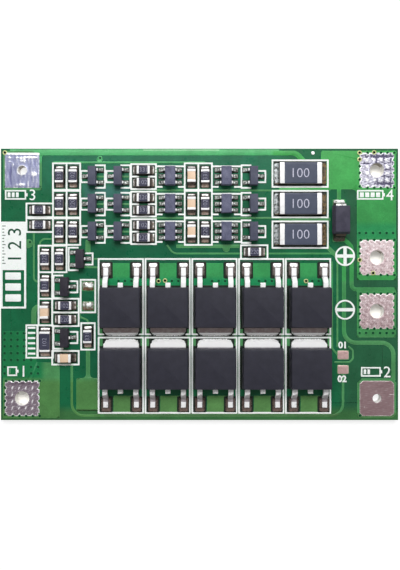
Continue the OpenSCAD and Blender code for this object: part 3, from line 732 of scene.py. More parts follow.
class Form:
    """Gathers the points and faces of one piece before it becomes a mesh."""

    def __init__(self) -> None:
        """Starts an empty form."""
        self.points: list[np.ndarray] = []
        self.faces: Faces = []
        self.paints: list[int] = []
        self.tones: list[np.ndarray] = []
        self.count = 0
        self.paint = 0

    def add(self, points: np.ndarray, faces: Iterable[Sequence[int]],
            tones: np.ndarray | None = None) -> None:
        """Adds a patch in the form's present paint.

        Args:
            points: Its points in millimetres.
            faces: The faces between them.
            tones: A tone for each point.
        """
        for face in faces:
            self.faces.append(tuple(int(index) + self.count for index in face))
            self.paints.append(self.paint)
        self.points.append(np.asarray(points, float))
        self.tones.append(np.full(len(points), 0.5) if tones is None else tones)
        self.count += len(points)

    def loft(self, rings: Sequence[np.ndarray], wrap: bool = False,
             tones: np.ndarray | None = None) -> None:
        """Joins rings of as many points each, and closes the two ends.

        Args:
            rings: The rings, each counterclockwise seen from the last one's side.
            wrap: Joins the last ring to the first instead of closing the ends.
            tones: A tone for each point, ring by ring.
        """
        count = len(rings[0])
        rows = len(rings)
        faces: Faces = []
        for row in range(rows if wrap else rows - 1):
            low, high = row * count, (row + 1) % rows * count
            for index in range(count):
                after = (index + 1) % count
                faces.append((low + index, low + after, high + after, high + index))
        if not wrap:
            faces.append(tuple(range(count - 1, -1, -1)))
            faces.append(tuple(range((rows - 1) * count, rows * count)))
        self.add(np.concatenate(rings), faces, tones)

    def relief(self, grid: np.ndarray, floor: float, tones: np.ndarray | None = None) -> None:
        """Adds a closed plate whose top is a grid of points and whose floor is level.

        Args:
            grid: Points of the top, rows along X by columns along Y.
            floor: Height of the floor.
            tones: A tone for each point of the top.
        """
        rows, columns = grid.shape[:2]
        number = np.arange(rows * columns).reshape(rows, columns)
        faces: Faces = [(number[r, c], number[r + 1, c], number[r + 1, c + 1], number[r, c + 1])
                        for r in range(rows - 1) for c in range(columns - 1)]
        edge = [*number[:-1, 0], *number[-1, :-1], *number[:0:-1, -1], *number[0, :0:-1]]
        top = grid.reshape(-1, 3)
        low = top[edge].copy()
        low[:, 2] = floor
        start = rows * columns
        size = len(edge)
        for index in range(size):
            after = (index + 1) % size
            faces.append((edge[index], start + index, start + after, edge[after]))
        faces.append(tuple(start + index for index in range(size - 1, -1, -1)))
        if tones is not None:
            tones = np.concatenate([tones.ravel(), np.full(size, 0.5)])
        self.add(np.concatenate([top, low]), faces, tones)

    def piece(self, name: str, *finishes: Finish, crease: float = 38.0) -> bpy.types.Object:
        """Makes the piece's object.

        Args:
            name: Name of the piece.
            *finishes: Its finishes, in the order of their numbers.
            crease: Angle in degrees above which an edge stays sharp.

        Returns:
            The object, at the origin, with its place in its mesh.
        """
        mesh = bpy.data.meshes.new(name)
        mesh.from_pydata((np.concatenate(self.points) * MM).tolist(), [], self.faces)
        mesh.validate()
        for finish in finishes:
            mesh.materials.append(finish.material())
        mesh.polygons.foreach_set("material_index", self.paints)
        mesh.polygons.foreach_set("use_smooth", [True] * len(self.faces))
        mesh.set_sharp_from_angle(angle=math.radians(crease))
        tones = np.concatenate(self.tones)
        if np.ptp(tones) > 0:
            mesh.attributes.new(TONE, "FLOAT", "POINT").data.foreach_set("value", tones)
        return stand(name, mesh)


def settle(piece: bpy.types.Object, slot: str, *nodes: str) -> None:
    """Fastens a piece to the board, with the CAD nodes that it stands for.

    Args:
        piece: The piece.
        slot: Not used.
        *nodes: The CAD nodes that it stands for.
    """
    if nodes:
        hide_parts(*nodes)
    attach(piece, ROOT)
    LOG.info("%s: %d faces", piece.name, len(piece.data.polygons))


def dress(node: str, *finishes: Finish, rounding: float = 0.0, steps: int = 2,
          turn: float = 30.0) -> None:
    """Gives a CAD node its finish and rounds its edges.

    Args:
        node: Name of the node.
        *finishes: Its finish, and the finish of its rounded edges where that differs.
        rounding: Width of the rounding in millimetres.
        steps: Number of faces across the rounding.
        turn: Angle in degrees above which an edge is rounded.
    """
    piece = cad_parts[node]
    piece.data.materials.clear()
    for finish in finishes:
        piece.data.materials.append(finish.material())
    piece.modifiers.new("weld", "WELD").merge_threshold = MM * MM
    if rounding:
        bevel = piece.modifiers.new("rounding", "BEVEL")
        bevel.width = rounding * MM
        bevel.segments = steps
        bevel.limit_method = "ANGLE"
        bevel.angle_limit = math.radians(turn)
        bevel.use_clamp_overlap = False
        bevel.material = len(finishes) - 1
        piece.modifiers.new("even_light", "WEIGHTED_NORMAL").keep_sharp = False
    LOG.info("%s: dressed", node)


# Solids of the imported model

@dataclass(frozen=True)
class Solid:
    """One solid of a CAD node, in millimetres."""

    points: np.ndarray

    @property
    def low(self) -> np.ndarray:
        """Its lowest corner."""
        return self.points.min(0)

    @property
    def high(self) -> np.ndarray:
        """Its highest corner."""
        return self.points.max(0)

    @property
    def middle(self) -> np.ndarray:
        """Middle of its box."""
        return (self.low + self.high) / 2

    @property
    def size(self) -> np.ndarray:
        """Size of its box."""
        return self.high - self.low


@cache
def solids(node: str) -> list[Solid]:
    """Parts a node's mesh into its solids, ordered by their place.

    Args:
        node: Name of the node.

    Returns:
        Its solids.
    """
    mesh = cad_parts[node].data
    co = np.zeros(len(mesh.vertices) * 3)
    mesh.vertices.foreach_get("co", co)
    points = co.reshape(-1, 3) / MM
    _, same = np.unique(np.round(points, 4), axis=0, return_inverse=True)
    same = same.reshape(-1)
    ends = np.zeros(len(mesh.edges) * 2, int)
    mesh.edges.foreach_get("vertices", ends)
    ends = same[ends.reshape(-1, 2)]
    label = np.arange(same.max() + 1)
    while True:
        least = np.minimum(label[ends[:, 0]], label[ends[:, 1]])
        after = label.copy()
        np.minimum.at(after, ends[:, 0], least)
        np.minimum.at(after, ends[:, 1], least)
        after = after[after]
        if (after == label).all():
            break
        label = after
    owner = label[same]
    parts = [Solid(points[owner == number]) for number in np.unique(owner)]
    return sorted(parts, key=lambda part: tuple(np.round(part.middle, 2)))


def lettering(text: str, height: float, thick: float, bold: float = 0.0
              ) -> tuple[np.ndarray, Faces]:
    """Mesh of a line of digits that lies flat.

    Args:
        text: The digits.
        height: Their height in millimetres.
        thick: Their thickness in millimetres.
        bold: How much their strokes swell, as a part of the type's size.

    Returns:
        The points, with their middle at the origin and their underside at 0, and the faces.
    """
    curve = bpy.data.curves.new("digits", "FONT")
    curve.body = text
    curve.extrude = 0.5
    curve.offset = bold
    curve.resolution_u = 3
    carrier = stand("digits", curve)
    made = carrier.evaluated_get(bpy.context.evaluated_depsgraph_get())
    mesh = made.to_mesh()
    points = np.array([v.co for v in mesh.vertices], float)
    faces = [tuple(p.vertices) for p in mesh.polygons]
    made.to_mesh_clear()
    bpy.data.objects.remove(carrier)
    bpy.data.curves.remove(curve)
    low, high = points.min(0), points.max(0)
    points -= (low + high) / 2
    points[:, :2] *= height / (high[1] - low[1])
    points[:, 2] = (points[:, 2] + 0.5) * thick
    return points, faces


def turned(points: np.ndarray, degrees: float) -> np.ndarray:
    """Points turned about the vertical axis."""
    c, s = math.cos(math.radians(degrees)), math.sin(math.radians(degrees))
    return points @ np.array([[c, s, 0], [-s, c, 0], [0, 0, 1]])


# Finishes of this board

# Its broad tints over the top band, the middle and the right side are partly the coat's own uneven
# colour and partly painted light falloff across the board; its last zone is a painted highlight
# along the top track.
GLASS = GreenCoat("coated_glass_fibre", colour=rgb(20, 106, 67), cut_edge=True, zones=(
    Zone((-24, 14.5), (12, 21), 3.0, rgb(28, 114, 80)),
    Zone((-20, -12), (11, 13), 5.0, rgb(18, 99, 66)),
    Zone((21.5, -21), (31, 21), 3.0, rgb(39, 99, 66)),
    Zone((-31, -21), (31, -18.8), 1.5, rgb(61, 116, 66)),
    Zone((-17.4, 13.0), (-10.5, 14.8), 1.2, rgb(56, 118, 106)),
    Zone((-28.6, 20.0), (12, 20.38), 0.12, rgb(108, 200, 134)),
    Zone((-8.5, 20.06), (3, 20.38), 0.12, rgb(160, 226, 172))))
# Its tints over the pours are partly the coat's own uneven colour and partly painted light falloff
# across the board.
COPPER = GreenCoat("copper_coat", colour=rgb(82, 152, 94), gloss=0.34, zones=(
    Zone((-25, 18.3), (12, 21), 0.8, rgb(90, 190, 120)),
    Zone((11, 14), (31, 21), 0.8, rgb(76, 178, 92)),
    Zone((21, 0.4), (31, 14.2), 0.8, rgb(65, 162, 86)),
    Zone((23.4, 6.6), (29.8, 9.2), 1.2, rgb(46, 152, 90)),
    Zone((21, -7.8), (31, 0.2), 0.8, rgb(70, 150, 88)),
    Zone((-31, -14.4), (-23.6, -6.6), 1.2, rgb(28, 126, 74)),
    Zone((-31, -21), (-14.6, -14.4), 1.2, rgb(86, 142, 79)),
    Zone((-14.4, -0.5), (20, 4.6), 0.8, rgb(61, 162, 92)),
    Zone((-14.4, -0.6), (20, 1.0), 0.9, rgb(30, 150, 92)),
    Zone((-14.4, -20.2), (20, -14), 0.8, rgb(95, 147, 84)),
    Zone((-14.4, -20.6), (31, -19.4), 0.3, rgb(82, 128, 78))))
RIM = GreenCoat("coated_copper_rim", colour=rgb(104, 178, 116), gloss=0.3,
                zones=tuple(zone.lit(1.4) for zone in COPPER.zones))
PLUG = GreenCoat("coat_in_via", colour=rgb(12, 74, 46), gloss=0.3)
UNDER = GreenCoat("coated_copper_under", colour=rgb(62, 148, 80), gloss=0.34)
INK = Ink("light_print")
DARK_INK = Ink("dark_print", colour=rgb(22, 76, 52), worn=rgb(40, 94, 68))
# In the tin finishes below, the slope tints are painted shade on slopes that face -Y and +X, away
# from the key light, on side slopes and on the steepest ones; on solder they are partly flux too.
LEAD = Tin("tinned_lead", colour=rgb(246, 246, 248), stain=rgb(176, 172, 176), stained=0.25,
           rough=0.42, metallic=0.35)
# Painted shade on the frames: grey on the lower row's tabs next to their cases, a painted
# reflection of the dark case; a thin grey shadow line across the upper legs at their bend; grey
# where the lower legs step down to their feet; and brown over the upper row's tabs, which their
# cases shade.
FRAME = Tin("tinned_frame", colour=rgb(255, 255, 255), stain=rgb(246, 244, 246), stained=0.2,
            rough=0.42, metallic=0.04, burnt=rgb(150, 144, 146), burnt_from=-0.2, zones=(
                Zone((-16, -10.1), (20, -9.42), 0.25, rgb(150, 146, 152)),
                Zone((-16, 1.1), (20, 1.32), 0.08, rgb(176, 172, 178)),
                Zone((-16, -17.6), (20, -17.05), 0.12, rgb(150, 142, 146)),
                Zone((-16, -7.17), (20, -6.2), 0.05, rgb(166, 147, 145)),
                Zone((-16, -7.25), (20, -7.16), 0.04, rgb(92, 70, 64))))
TAB_SOLDER = Tin("tab_solder", colour=rgb(255, 255, 255), stain=rgb(222, 218, 216),
                 stained=0.3, stain_size=0.7, rough=0.36, relief=0.015, metallic=0.04)
END = Tin("plated_end", colour=rgb(255, 255, 255), stain=rgb(214, 210, 212), stained=0.25,
          rough=0.44, metallic=0.1, burnt=rgb(124, 110, 104), burnt_from=-0.35,
          steep=rgb(112, 98, 92), steep_up=(0.45, 0.85))
SOLDER = Tin("chip_solder", colour=rgb(252, 251, 250), stain=rgb(150, 138, 128), stained=0.6,
             stain_size=0.4, rough=0.28, relief=0.03, metallic=0.35, burnt=rgb(146, 114, 90),
             flank=rgb(92, 86, 76), steep=rgb(76, 66, 62), steep_up=(0.74, 0.97))
# Brown on the sense resistors' right ends is partly flux and partly painted shade.
SENSE_SOLDER = Tin("sense_solder", colour=rgb(172, 178, 180), stain=rgb(46, 50, 44),
                   stained=0.97, stain_size=0.42, rough=0.28, relief=0.04, metallic=0.3,
                   burnt=rgb(140, 114, 74), burnt_from=-0.1, steep=rgb(54, 50, 46),
                   steep_up=(0.3, 0.75),
                   zones=(Zone((18.5, 0), (20.4, 20), 0.2, rgb(112, 92, 60)),))
# Brown over the diode's lower lead is partly flux and partly painted shade of its case.
DIODE_TIN = Tin("diode_tin", colour=rgb(250, 250, 250), stain=rgb(84, 72, 62), stained=0.8,
                rough=0.32, relief=0.03, metallic=0.25, burnt=rgb(76, 64, 50), burnt_from=-0.1,
                steep=rgb(70, 62, 58), zones=(Zone((19.5, 5.2), (24, 7.6), 0.3, rgb(86, 72, 52)),))
SPARE_TIN = Tin("spare_land_solder", colour=rgb(142, 146, 132), stain=rgb(96, 92, 80),
                stained=0.7, stain_size=0.3, rough=0.3, relief=0.03, metallic=0.2,
                valley=rgb(112, 82, 58))
# Brown over the lower row's solder is partly flux and partly painted shade under the cases.
POWER_SOLDER = Tin("power_solder", colour=rgb(252, 252, 252), stain=rgb(150, 138, 128),
                   stained=0.3, rough=0.28, relief=0.03, metallic=0.25,
                   burnt=rgb(120, 98, 88), burnt_from=-0.05, lean=0.0, flank=rgb(96, 78, 72),
                   zones=(Zone((-16, -20.5), (20, -15.0), 0.3, rgb(70, 54, 48)),))
LEAD_SOLDER = Tin("lead_solder", colour=rgb(186, 192, 186), stain=rgb(44, 56, 50), stained=0.95,
                  stain_size=0.3, rough=0.26, relief=0.04, burnt=rgb(84, 74, 62),
                  burnt_from=-0.1)
SMALL_LEAD = Tin("small_lead_tin", colour=rgb(255, 255, 255), stain=rgb(200, 198, 200),
                 stained=0.1, rough=0.42, metallic=0.04, foot=rgb(70, 80, 72),
                 burnt=rgb(120, 124, 122), burnt_from=-0.45, lean=0.0, steep=rgb(66, 72, 68),
                 steep_up=(0.35, 0.8))
BARE = Tin("bare_land_tin", colour=rgb(206, 172, 168), stain=rgb(164, 132, 128), rough=0.4,
           relief=0.03)
# The brown on barrel walls that face -Y is painted shade, where the key light does not reach into
# the hole.
BARREL = Tin("plated_barrel", colour=rgb(250, 249, 246), stain=rgb(226, 222, 214), rough=0.4,
             metallic=0.05, burnt=rgb(112, 100, 80), burnt_from=-0.45, lean=0.0)
BLUE_TIN = Tin("smooth_land_tin", colour=rgb(150, 154, 184), stain=rgb(134, 136, 168),
               stained=0.5, streak=(1.0, 0.25, 1.0), rough=0.4, valley=rgb(104, 106, 146))
LILAC_TIN = Tin("grooved_land_tin", colour=rgb(200, 198, 213), stain=rgb(170, 164, 184),
                stained=0.4, stain_size=0.3, valley=rgb(80, 76, 102))
PINK_TIN = Tin("mottled_land_tin", colour=rgb(226, 206, 208), stain=rgb(204, 174, 176),
               stain_size=0.6, stained=0.5, valley=rgb(156, 126, 132), crest=rgb(248, 238, 240))
ROSE_TIN = Tin("fine_mottled_tin", colour=rgb(200, 178, 181), stain=rgb(186, 152, 154),
               stain_size=0.6, stained=0.5, valley=rgb(146, 118, 122), crest=rgb(242, 228, 230))
MAUVE_TIN = Tin("dotted_land_tin", colour=rgb(140, 126, 138), stain=rgb(118, 100, 112),
                stained=0.5, stain_size=0.4, valley=rgb(86, 72, 84), crest=rgb(250, 246, 250))
BROWN_TIN = Tin("cut_land_tin", colour=rgb(150, 124, 127), stain=rgb(134, 104, 108),
                stained=0.5, stain_size=1.2, streak=(0.4, 1.0, 1.0), valley=rgb(118, 92, 98),
                crest=rgb(238, 226, 226))
POWER_MOULD = Moulding("power_moulding", colour=rgb(42, 42, 52), filler=rgb(56, 55, 67))
SMALL_MOULD = Moulding("small_moulding", colour=rgb(69, 72, 90), filler=rgb(102, 104, 122),
                       speckle=0.45)
DARK_MOULD = Moulding("dark_moulding", colour=rgb(40, 37, 46), filler=rgb(66, 62, 74))
CONTROL_MOULD = Moulding("controller_moulding", colour=rgb(78, 80, 104),
                         filler=rgb(136, 138, 164), speckle=0.6)
DIODE_MOULD = Moulding("diode_moulding", colour=rgb(54, 52, 67), filler=rgb(86, 84, 101))
GLAZE = Moulding("dark_glaze", colour=rgb(58, 58, 76), filler=rgb(88, 88, 108), rough=0.36)
SENSE_GLAZE = Moulding("sense_glaze", colour=rgb(74, 80, 98), filler=rgb(92, 98, 116),
                       rough=0.36)
ALUMINA = Ceramic("alumina", colour=rgb(150, 142, 136), dark=rgb(120, 112, 106))
TAN = Ceramic("fired_tan", colour=rgb(240, 210, 180), dark=rgb(224, 184, 148))
SMALL_MARK = Ink("small_chip_mark", colour=rgb(168, 168, 186), worn=rgb(130, 130, 150))
MARK = Ink("chip_mark", colour=rgb(204, 204, 222), worn=rgb(158, 158, 182))
GOLD = Tin("via_ring", colour=rgb(200, 206, 142), stain=rgb(150, 176, 104), rough=0.34,
           metallic=0.2)
# Dark film round parts: partly dried flux, partly painted shade round their feet and sides.
FLUX_SHADE = Moulding("flux_and_painted_shade", colour=rgb(16, 34, 26), filler=rgb(48, 48, 38), speckle=0.35,
                rough=0.4, grain=0.3)
# The black in the open vias' wells is painted shade, standing for the dark shaft of each hole.
WELL = Moulding("via_well", colour=rgb(6, 8, 6), filler=rgb(16, 18, 16), rough=0.8)


# Sub-assemblies

VIA_ROW = (-2.45, 1.02)         # first place and pitch of the vias along a wire land's sides
VIAS_A_SIDE = 6
DIMPLES_X = (-2.48, 1.01)       # first place and pitch of the dimples that vias leave in the tin
DIMPLES_Y = (-2.46, 1.01)
GROOVES: Pairs = (((0.2, 2.1), (2.6, 0.22)), ((0.9, -2.02), (1.5, 0.2)),
                  ((-1.6, 1.0), (1.0, 0.1)), ((-0.1, 1.5), (0.1, 0.8)))
GLINTS: Pairs = (
    ((-1.85, 1.9), (0.32, 0.12)), ((0.0, 1.88), (0.8, 0.15)), ((1.1, 1.95), (0.5, 0.1)),
    ((0.15, 1.45), (0.36, 0.16)), ((-1.35, 0.85), (0.08, 0.3)), ((1.8, 1.9), (0.4, 0.1)),
    ((1.8, -0.6), (0.5, 0.3)), ((-0.25, -2.15), (0.5, 0.13)), ((-1.85, 1.3), (0.2, 0.1)))


def all_spots(x: np.ndarray, y: np.ndarray, places: Pairs) -> np.ndarray:
    """Sum of the spots at these places, each with its half-widths."""
    return sum(spot(x, y, place, reach) for place, reach in places)


class Facing(Enum):
    """Relief of a wire land's tin."""

    STREAKED = "streaked"
    SCRATCHED = "scratched"
    GROOVED = "grooved"
    MOTTLED = "mottled"
    DOTTED = "dotted"


@dataclass(frozen=True)
class Rim:
    """Painted highlights on a wire land's tin, round its hole and along its outline, where the tin
    also rises.
    """

    hole: float = 0.1
    hole_at: float = 0.06
    hole_width: float = 0.08
    outline: float = 0.55
    outline_width: float = 0.11
    broken: bool = False

    def along(self, x: np.ndarray, y: np.ndarray, edge: np.ndarray) -> np.ndarray:
        """Tone that the outline's border adds: a painted highlight, on tin that it also raises.

        Args:
            x: Places from the land's middle along X.
            y: Places from the land's middle along Y.
            edge: Distance to the land's outline.

        Returns:
            The tone at each place.
        """
        border = self.outline * hill(edge, 0.0, self.outline_width)
        return border * (ripple(x, y, 0.7, 9.0) > 0) if self.broken else border


@dataclass(frozen=True)
class WireLand:
    """A plated hole for a wire with its tinned land on both faces."""

    node: str
    bore: float
    facing: Facing
    finish: Finish
    rim: Rim = Rim()
    scalloped: bool = True
    cut: float = 0.05
    notch: float = 0.21
    bead: float = 0.05
    bead_width: float = 0.3
    lip: float = 0.02
    relief: float = 0.05
    clear_of_hole: float = 0.4
    foil: float = 0.06
    wall: float = 0.14
    barrel_wave: float = 0.004
    around: int = 320
    rows: int = 46
    barrel_rows: int = 7
    under_steps: tuple[float, ...] = (0.02, 0.3, 0.7, 0.97, 1.0)
    chamfer: float = 0.012

    def outline(self, dented: bool) -> np.ndarray:
        """Points along the land's edge.

        Args:
            dented: Whether the edge is nibbled by the vias' holes.

        Returns:
            The places on the edge from the land's middle, counterclockwise.
        """
        low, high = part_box(self.node)
        half = np.array([(high.x - low.x) / 2, (high.y - low.y) / 2]) / MM
        cut = self.cut
        corners = np.array([
            (half[0], -half[1] + cut), (half[0], half[1] - cut), (half[0] - cut, half[1]),
            (-half[0] + cut, half[1]), (-half[0], half[1] - cut), (-half[0], -half[1] + cut),
            (-half[0] + cut, -half[1]), (half[0] - cut, -half[1])])
        ends = np.roll(corners, -1, 0)
        run = np.concatenate([[0], np.cumsum(np.hypot(*(ends - corners).T))])
        steps = np.arange(self.around) / self.around * run[-1]
        side = np.searchsorted(run, steps, "right") - 1
        part = ((steps - run[side]) / (run[side + 1] - run[side]))[:, None]
        points = corners[side] * (1 - part) + ends[side] * part
        if not dented:
            return points
        along = np.where(np.abs(points[:, 0]) > half[0] - 0.01, points[:, 1], points[:, 0])
        away = np.abs(nearest(along, *VIA_ROW)) / self.notch
        depth = self.notch * np.sqrt(np.clip(1 - away ** 2, 0, 1))
        return points * (1 - depth / half.min())[:, None]

    def height(self, x: np.ndarray, y: np.ndarray, edge: np.ndarray) -> np.ndarray:
        """Height of the tin over the land's level.

        Args:
            x: Places from the land's middle along X.
            y: Places from the land's middle along Y.
            edge: Distance to the land's outline.

        Returns:
            The height at each place.
        """
        lip = self.lip * hill(np.hypot(x, y) - self.bore / 2, 0.15, 0.12)
        inner = np.clip(edge / 0.2, 0, 1)
        return self.bead * quarter_round(edge, self.bead_width) + lip + inner * (
            0.005 * ripple(x, y, 1.7, 2.0) + self.relief * (self.tone(x, y, edge) - 0.5))

    def tone(self, x: np.ndarray, y: np.ndarray, edge: np.ndarray) -> np.ndarray:
        """Tone of the tin, 0 in a groove, 0.5 on the plain face and 1 on a crest.

        Args:
            x: Places from the land's middle along X.
            y: Places from the land's middle along Y.
            edge: Distance to the land's outline.

        Returns:
            The tone at each place.
        """
        away = np.hypot(x, y) - self.bore / 2
        # The ring round the hole and the border along the outline are painted highlights, and raise
        # the tin too.
        ring = self.rim.hole * hill(away, self.rim.hole_at, self.rim.hole_width)
        border = self.rim.along(x, y, edge) * (away > self.clear_of_hole)
        return np.clip(self.face(x, y) + ring + border, 0.0, 1.0)

    def face(self, x: np.ndarray, y: np.ndarray) -> np.ndarray:
        """Tone of the face within its borders, about 0 to 1.

        Args:
            x: Places from the land's middle along X.
            y: Places from the land's middle along Y.

        Returns:
            The tone at each place.
        """
        wide, tall = nearest(x, *DIMPLES_X), nearest(y, *DIMPLES_Y)
        if self.facing is Facing.GROOVED:
            between = DIMPLES_X[1] / 2
            line = hill(np.minimum(between - np.abs(wide), between - np.abs(tall)), 0.0, 0.1)
            where = np.clip(x + 0.5, 0, 1) * np.clip(0.7 + 0.6 * ripple(x, y, 1.9, 4.0), 0, 1)
            facets = 0.26 * ripple(x, y, 0.55, 1.0) + 0.18 * ripple(x, y, 0.3, 5.0)
            dimples = 0.42 * hill(np.hypot(wide, tall), 0.12, 0.12)
            ragged = 0.8 + 0.45 * ripple(x, y, 0.5, 8.0)
            grooves = np.clip((line * where + all_spots(x, y, GROOVES)) * ragged, 0, 1)
            return 0.46 + facets + dimples - 0.8 * grooves
        if self.facing is Facing.MOTTLED:
            hatch = 0.2 * ripple(x + y, x - y, 0.5, 3.0) + 0.14 * ripple(x, y, 0.36, 1.0)
            patch = 0.22 * ripple(x, y, 0.95, 6.0) + 0.05 * y
            return 0.5 + hatch + patch + 0.3 * hill(np.hypot(wide, tall), 0.0, 0.13)
        if self.facing is Facing.DOTTED:
            dimples = spot(wide, tall, (0, 0), (0.1, 0.23), 0.35)
            mottle = 0.16 * ripple(x, y, 0.34, 6.0) + 0.1 * ripple(x * 0.3, y, 0.5, 2.0)
            tone = 0.5 + mottle + 0.75 * dimples - 0.35 * spot(x, y, (0, 2.2), (2.4, 0.2))
            return tone - 0.4 * spot(x, y, (-1.9, 0.1), (0.9, 0.14))
        if self.facing is Facing.STREAKED:
            ragged = 0.75 + 0.5 * ripple(x, y, 0.42, 2.0)
            streaks = 0.2 * ripple(x, y * 0.22, 0.55, 7.0) + 0.08 * ripple(x, y, 0.4, 3.0)
            dark = (0.4 * spot(x, y, (-1.75, -0.3), (0.22, 1.9))
                    + 0.3 * spot(x, y, (-1.3, 0), (0.1, 2)))
            # The glints and the bar along the upper edge are painted highlights.
            bar = np.exp(-((y - 2.48 + 0.02 * x) / 0.17) ** 6)
            bright = np.clip(all_spots(x, y, GLINTS) * ragged + bar, 0, 1)
            return 0.48 + streaks - dark + 0.9 * bright
        scratches = 0.1 * ripple(x * 0.12, y, 0.2, 2.0) + 0.06 * ripple(x, y, 0.9, 5.0)
        flecks = 0.5 * spot(x, y, (2.1, 0.6), (0.3, 0.06), 0.6)
        flecks = flecks + 0.35 * spot(x, y, (-1.9, -1.3), (0.09, 0.09))
        return 0.5 + scratches + flecks

    def build(self) -> None:
        """Builds the land, its barrel and its lower land as one closed skin."""
        low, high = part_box(self.node)
        middle = np.array([(low.x + high.x) / 2, (low.y + high.y) / 2]) / MM
        bore = self.bore / 2
        outer, plain = self.outline(self.scalloped), self.outline(False)
        turn = np.arctan2(outer[:, 1], outer[:, 0])
        inner = np.stack([np.cos(turn), np.sin(turn)], 1)
        reach = np.hypot(*outer.T) - bore - 0.05

        def ring(places: np.ndarray, z: object) -> np.ndarray:
            """Ring of points at these places and heights."""
            return np.column_stack([places + middle, np.broadcast_to(z, (len(places),))])

        flat = np.full(self.around, 0.5)
        rings = [ring(outer * 0.985, LEVELS.coat), ring(outer, LEVELS.coat + 0.02)]
        # The land's outer wall takes a painted highlight tone.
        tones = [flat + 0.4, flat + 0.4]
        for step in np.linspace(0, 1, self.rows + 1) ** 1.1:
            places, edge = outer - inner * (reach * step)[:, None], reach * step
            x, y = places.T
            rings.append(ring(places, LEVELS.land - 0.05 + self.height(x, y, edge)))
            tones.append(self.tone(x, y, edge))
        face = len(rings)
        for part in range(self.barrel_rows + 1):
            z = LEVELS.land - 0.03 - (LEVELS.land - 0.06) * part / self.barrel_rows
            rings.append(ring(inner * (bore + self.barrel_wave * math.sin(part * 2.1)), z))
        wall = len(rings)
        for step in self.under_steps:
            places = inner * (bore + 0.03) * (1 - step) + plain * step
            rings.append(ring(places, LEVELS.under + (self.chamfer if step == 1 else 0.0)))
        shell = inner * (bore + self.wall)
        rings += [ring(plain, self.foil), ring(shell, self.foil), ring(shell, LEVELS.coat)]
        tones += [flat] * (len(rings) - len(tones))
        form = Form()
        form.loft(rings, wrap=True, tones=np.concatenate(tones))
        form.paints[face * self.around:wall * self.around] = [1] * ((wall - face) * self.around)
        piece = form.piece(f"wire_land_{self.node.removeprefix('terminal_')}", self.finish, BARREL,
                           crease=60)
        settle(piece, "tin", self.node)


@dataclass(frozen=True)
class Fillets:
    """Solder on the lands of one kind of part: a bead with a hollow slope at the part's end.

    A land that is wider than wide_from along X takes the second finish.
    """

    node: str
    name: str
    finishes: tuple[Finish, ...] = (SOLDER,)
    bead: float = 0.04
    bead_width: float = 0.16
    start: float = 0.02
    sink: float = 0.03
    gap: float = 0.004
    uneven: float = 0.3
    wave: float = 0.02
    corner_power: int = 7
    pitch: float = 0.075
    side: float = 1.0
    spread: float = 0.85
    wide_from: float = 99.0
    reach: tuple[Place, Place] = ((0.0, 0.0), (0.0, 0.0))

    def land(self, form: Form, solid: Solid, seed: float) -> None:
        """Adds the solder of one land.

        Args:
            form: The form that takes it.
            solid: The land's CAD solid.
            seed: Makes its bead differ from its neighbours'.
        """
        tin = LEVELS.land
        # The CAD solid is a wedge: its highest points touch the part, and its toe lies away from it
        high = solid.points[solid.points[:, 2] > solid.high[2] - 0.01]
        toe = solid.points[solid.points[:, 2] > tin + 0.005]
        foot = high.mean(0)
        lean = toe.mean(0) - foot
        axis = int(abs(lean[1]) > abs(lean[0]))
        cross = 1 - axis
        sign = 1.0 if lean[axis] > 0 else -1.0
        near, far = sorted(sign * (end[axis] - foot[axis]) for end in (solid.low, solid.high))
        far += self.reach[axis][int(sign > 0)]
        half = (high[:, cross].max() - high[:, cross].min()) / 2 * self.side
        wide = solid.size[cross] / 2
        back = max(2, round(-near / (self.pitch * 2)))
        fore = max(5, round(far / self.pitch))
        across = max(6, round(2 * wide / self.pitch))
        # u runs from the foot of the part outwards, and v across it
        u, v = np.meshgrid(
            np.concatenate([np.linspace(near, 0, back, endpoint=False),
                            np.linspace(0, far, fore + 1)]),
            np.linspace(-wide, wide, across + 1), indexing="ij")
        centre, run = (far + near) / 2, (far - near) / 2
        s, t = (u - centre) / run, v / wide
        most, pinch = squared(s, t, self.corner_power)
        wobble = 1 + self.wave * ripple(u * 3, v * 3, 1.1, seed) * most ** 4
        u2, v2 = centre + s * pinch * wobble * run, t * pinch * wobble * wide
        edge = (1 - most) * min(wide, run)
        bead = self.bead * quarter_round(edge, self.bead_width)
        bead = bead * (1 + self.uneven * ripple(u2, v2, 0.9, seed))
        gap = np.hypot(np.maximum(u2, 0), np.maximum(np.abs(v2) - half, 0))
        slope = np.clip(1 - gap / (max(far, 0.2) * self.spread), 0, 1) ** 2
        slope = (solid.high[2] - tin) * slope * np.clip(edge / 0.1, 0, 1)
        tall = tin - self.start + bead + slope
        # Under the part it stays just below the land's level, and its outline sinks into the land
        tall = np.where((u2 < -TINY) & (np.abs(v2) < half - TINY), tin - self.gap, tall)
        tall = np.where(edge < TINY, tin - self.sink, tall)
        grid = np.zeros((*u.shape, 3))
        grid[..., axis] = foot[axis] + sign * u2
        grid[..., cross] = foot[cross] + v2
        grid[..., 2] = tall
        if (sign > 0) == (axis == 1):
            grid = grid[:, ::-1]
        form.relief(grid, solid.low[2])

    def build(self) -> None:
        """Builds the solder of every land in the node."""
        form = Form()
        for index, solid in enumerate(solids(self.node)):
            form.paint = int(solid.size[0] > self.wide_from)
            self.land(form, solid, 1.3 * index)
        settle(form.piece(self.name, *self.finishes, crease=70), "solder", self.node)


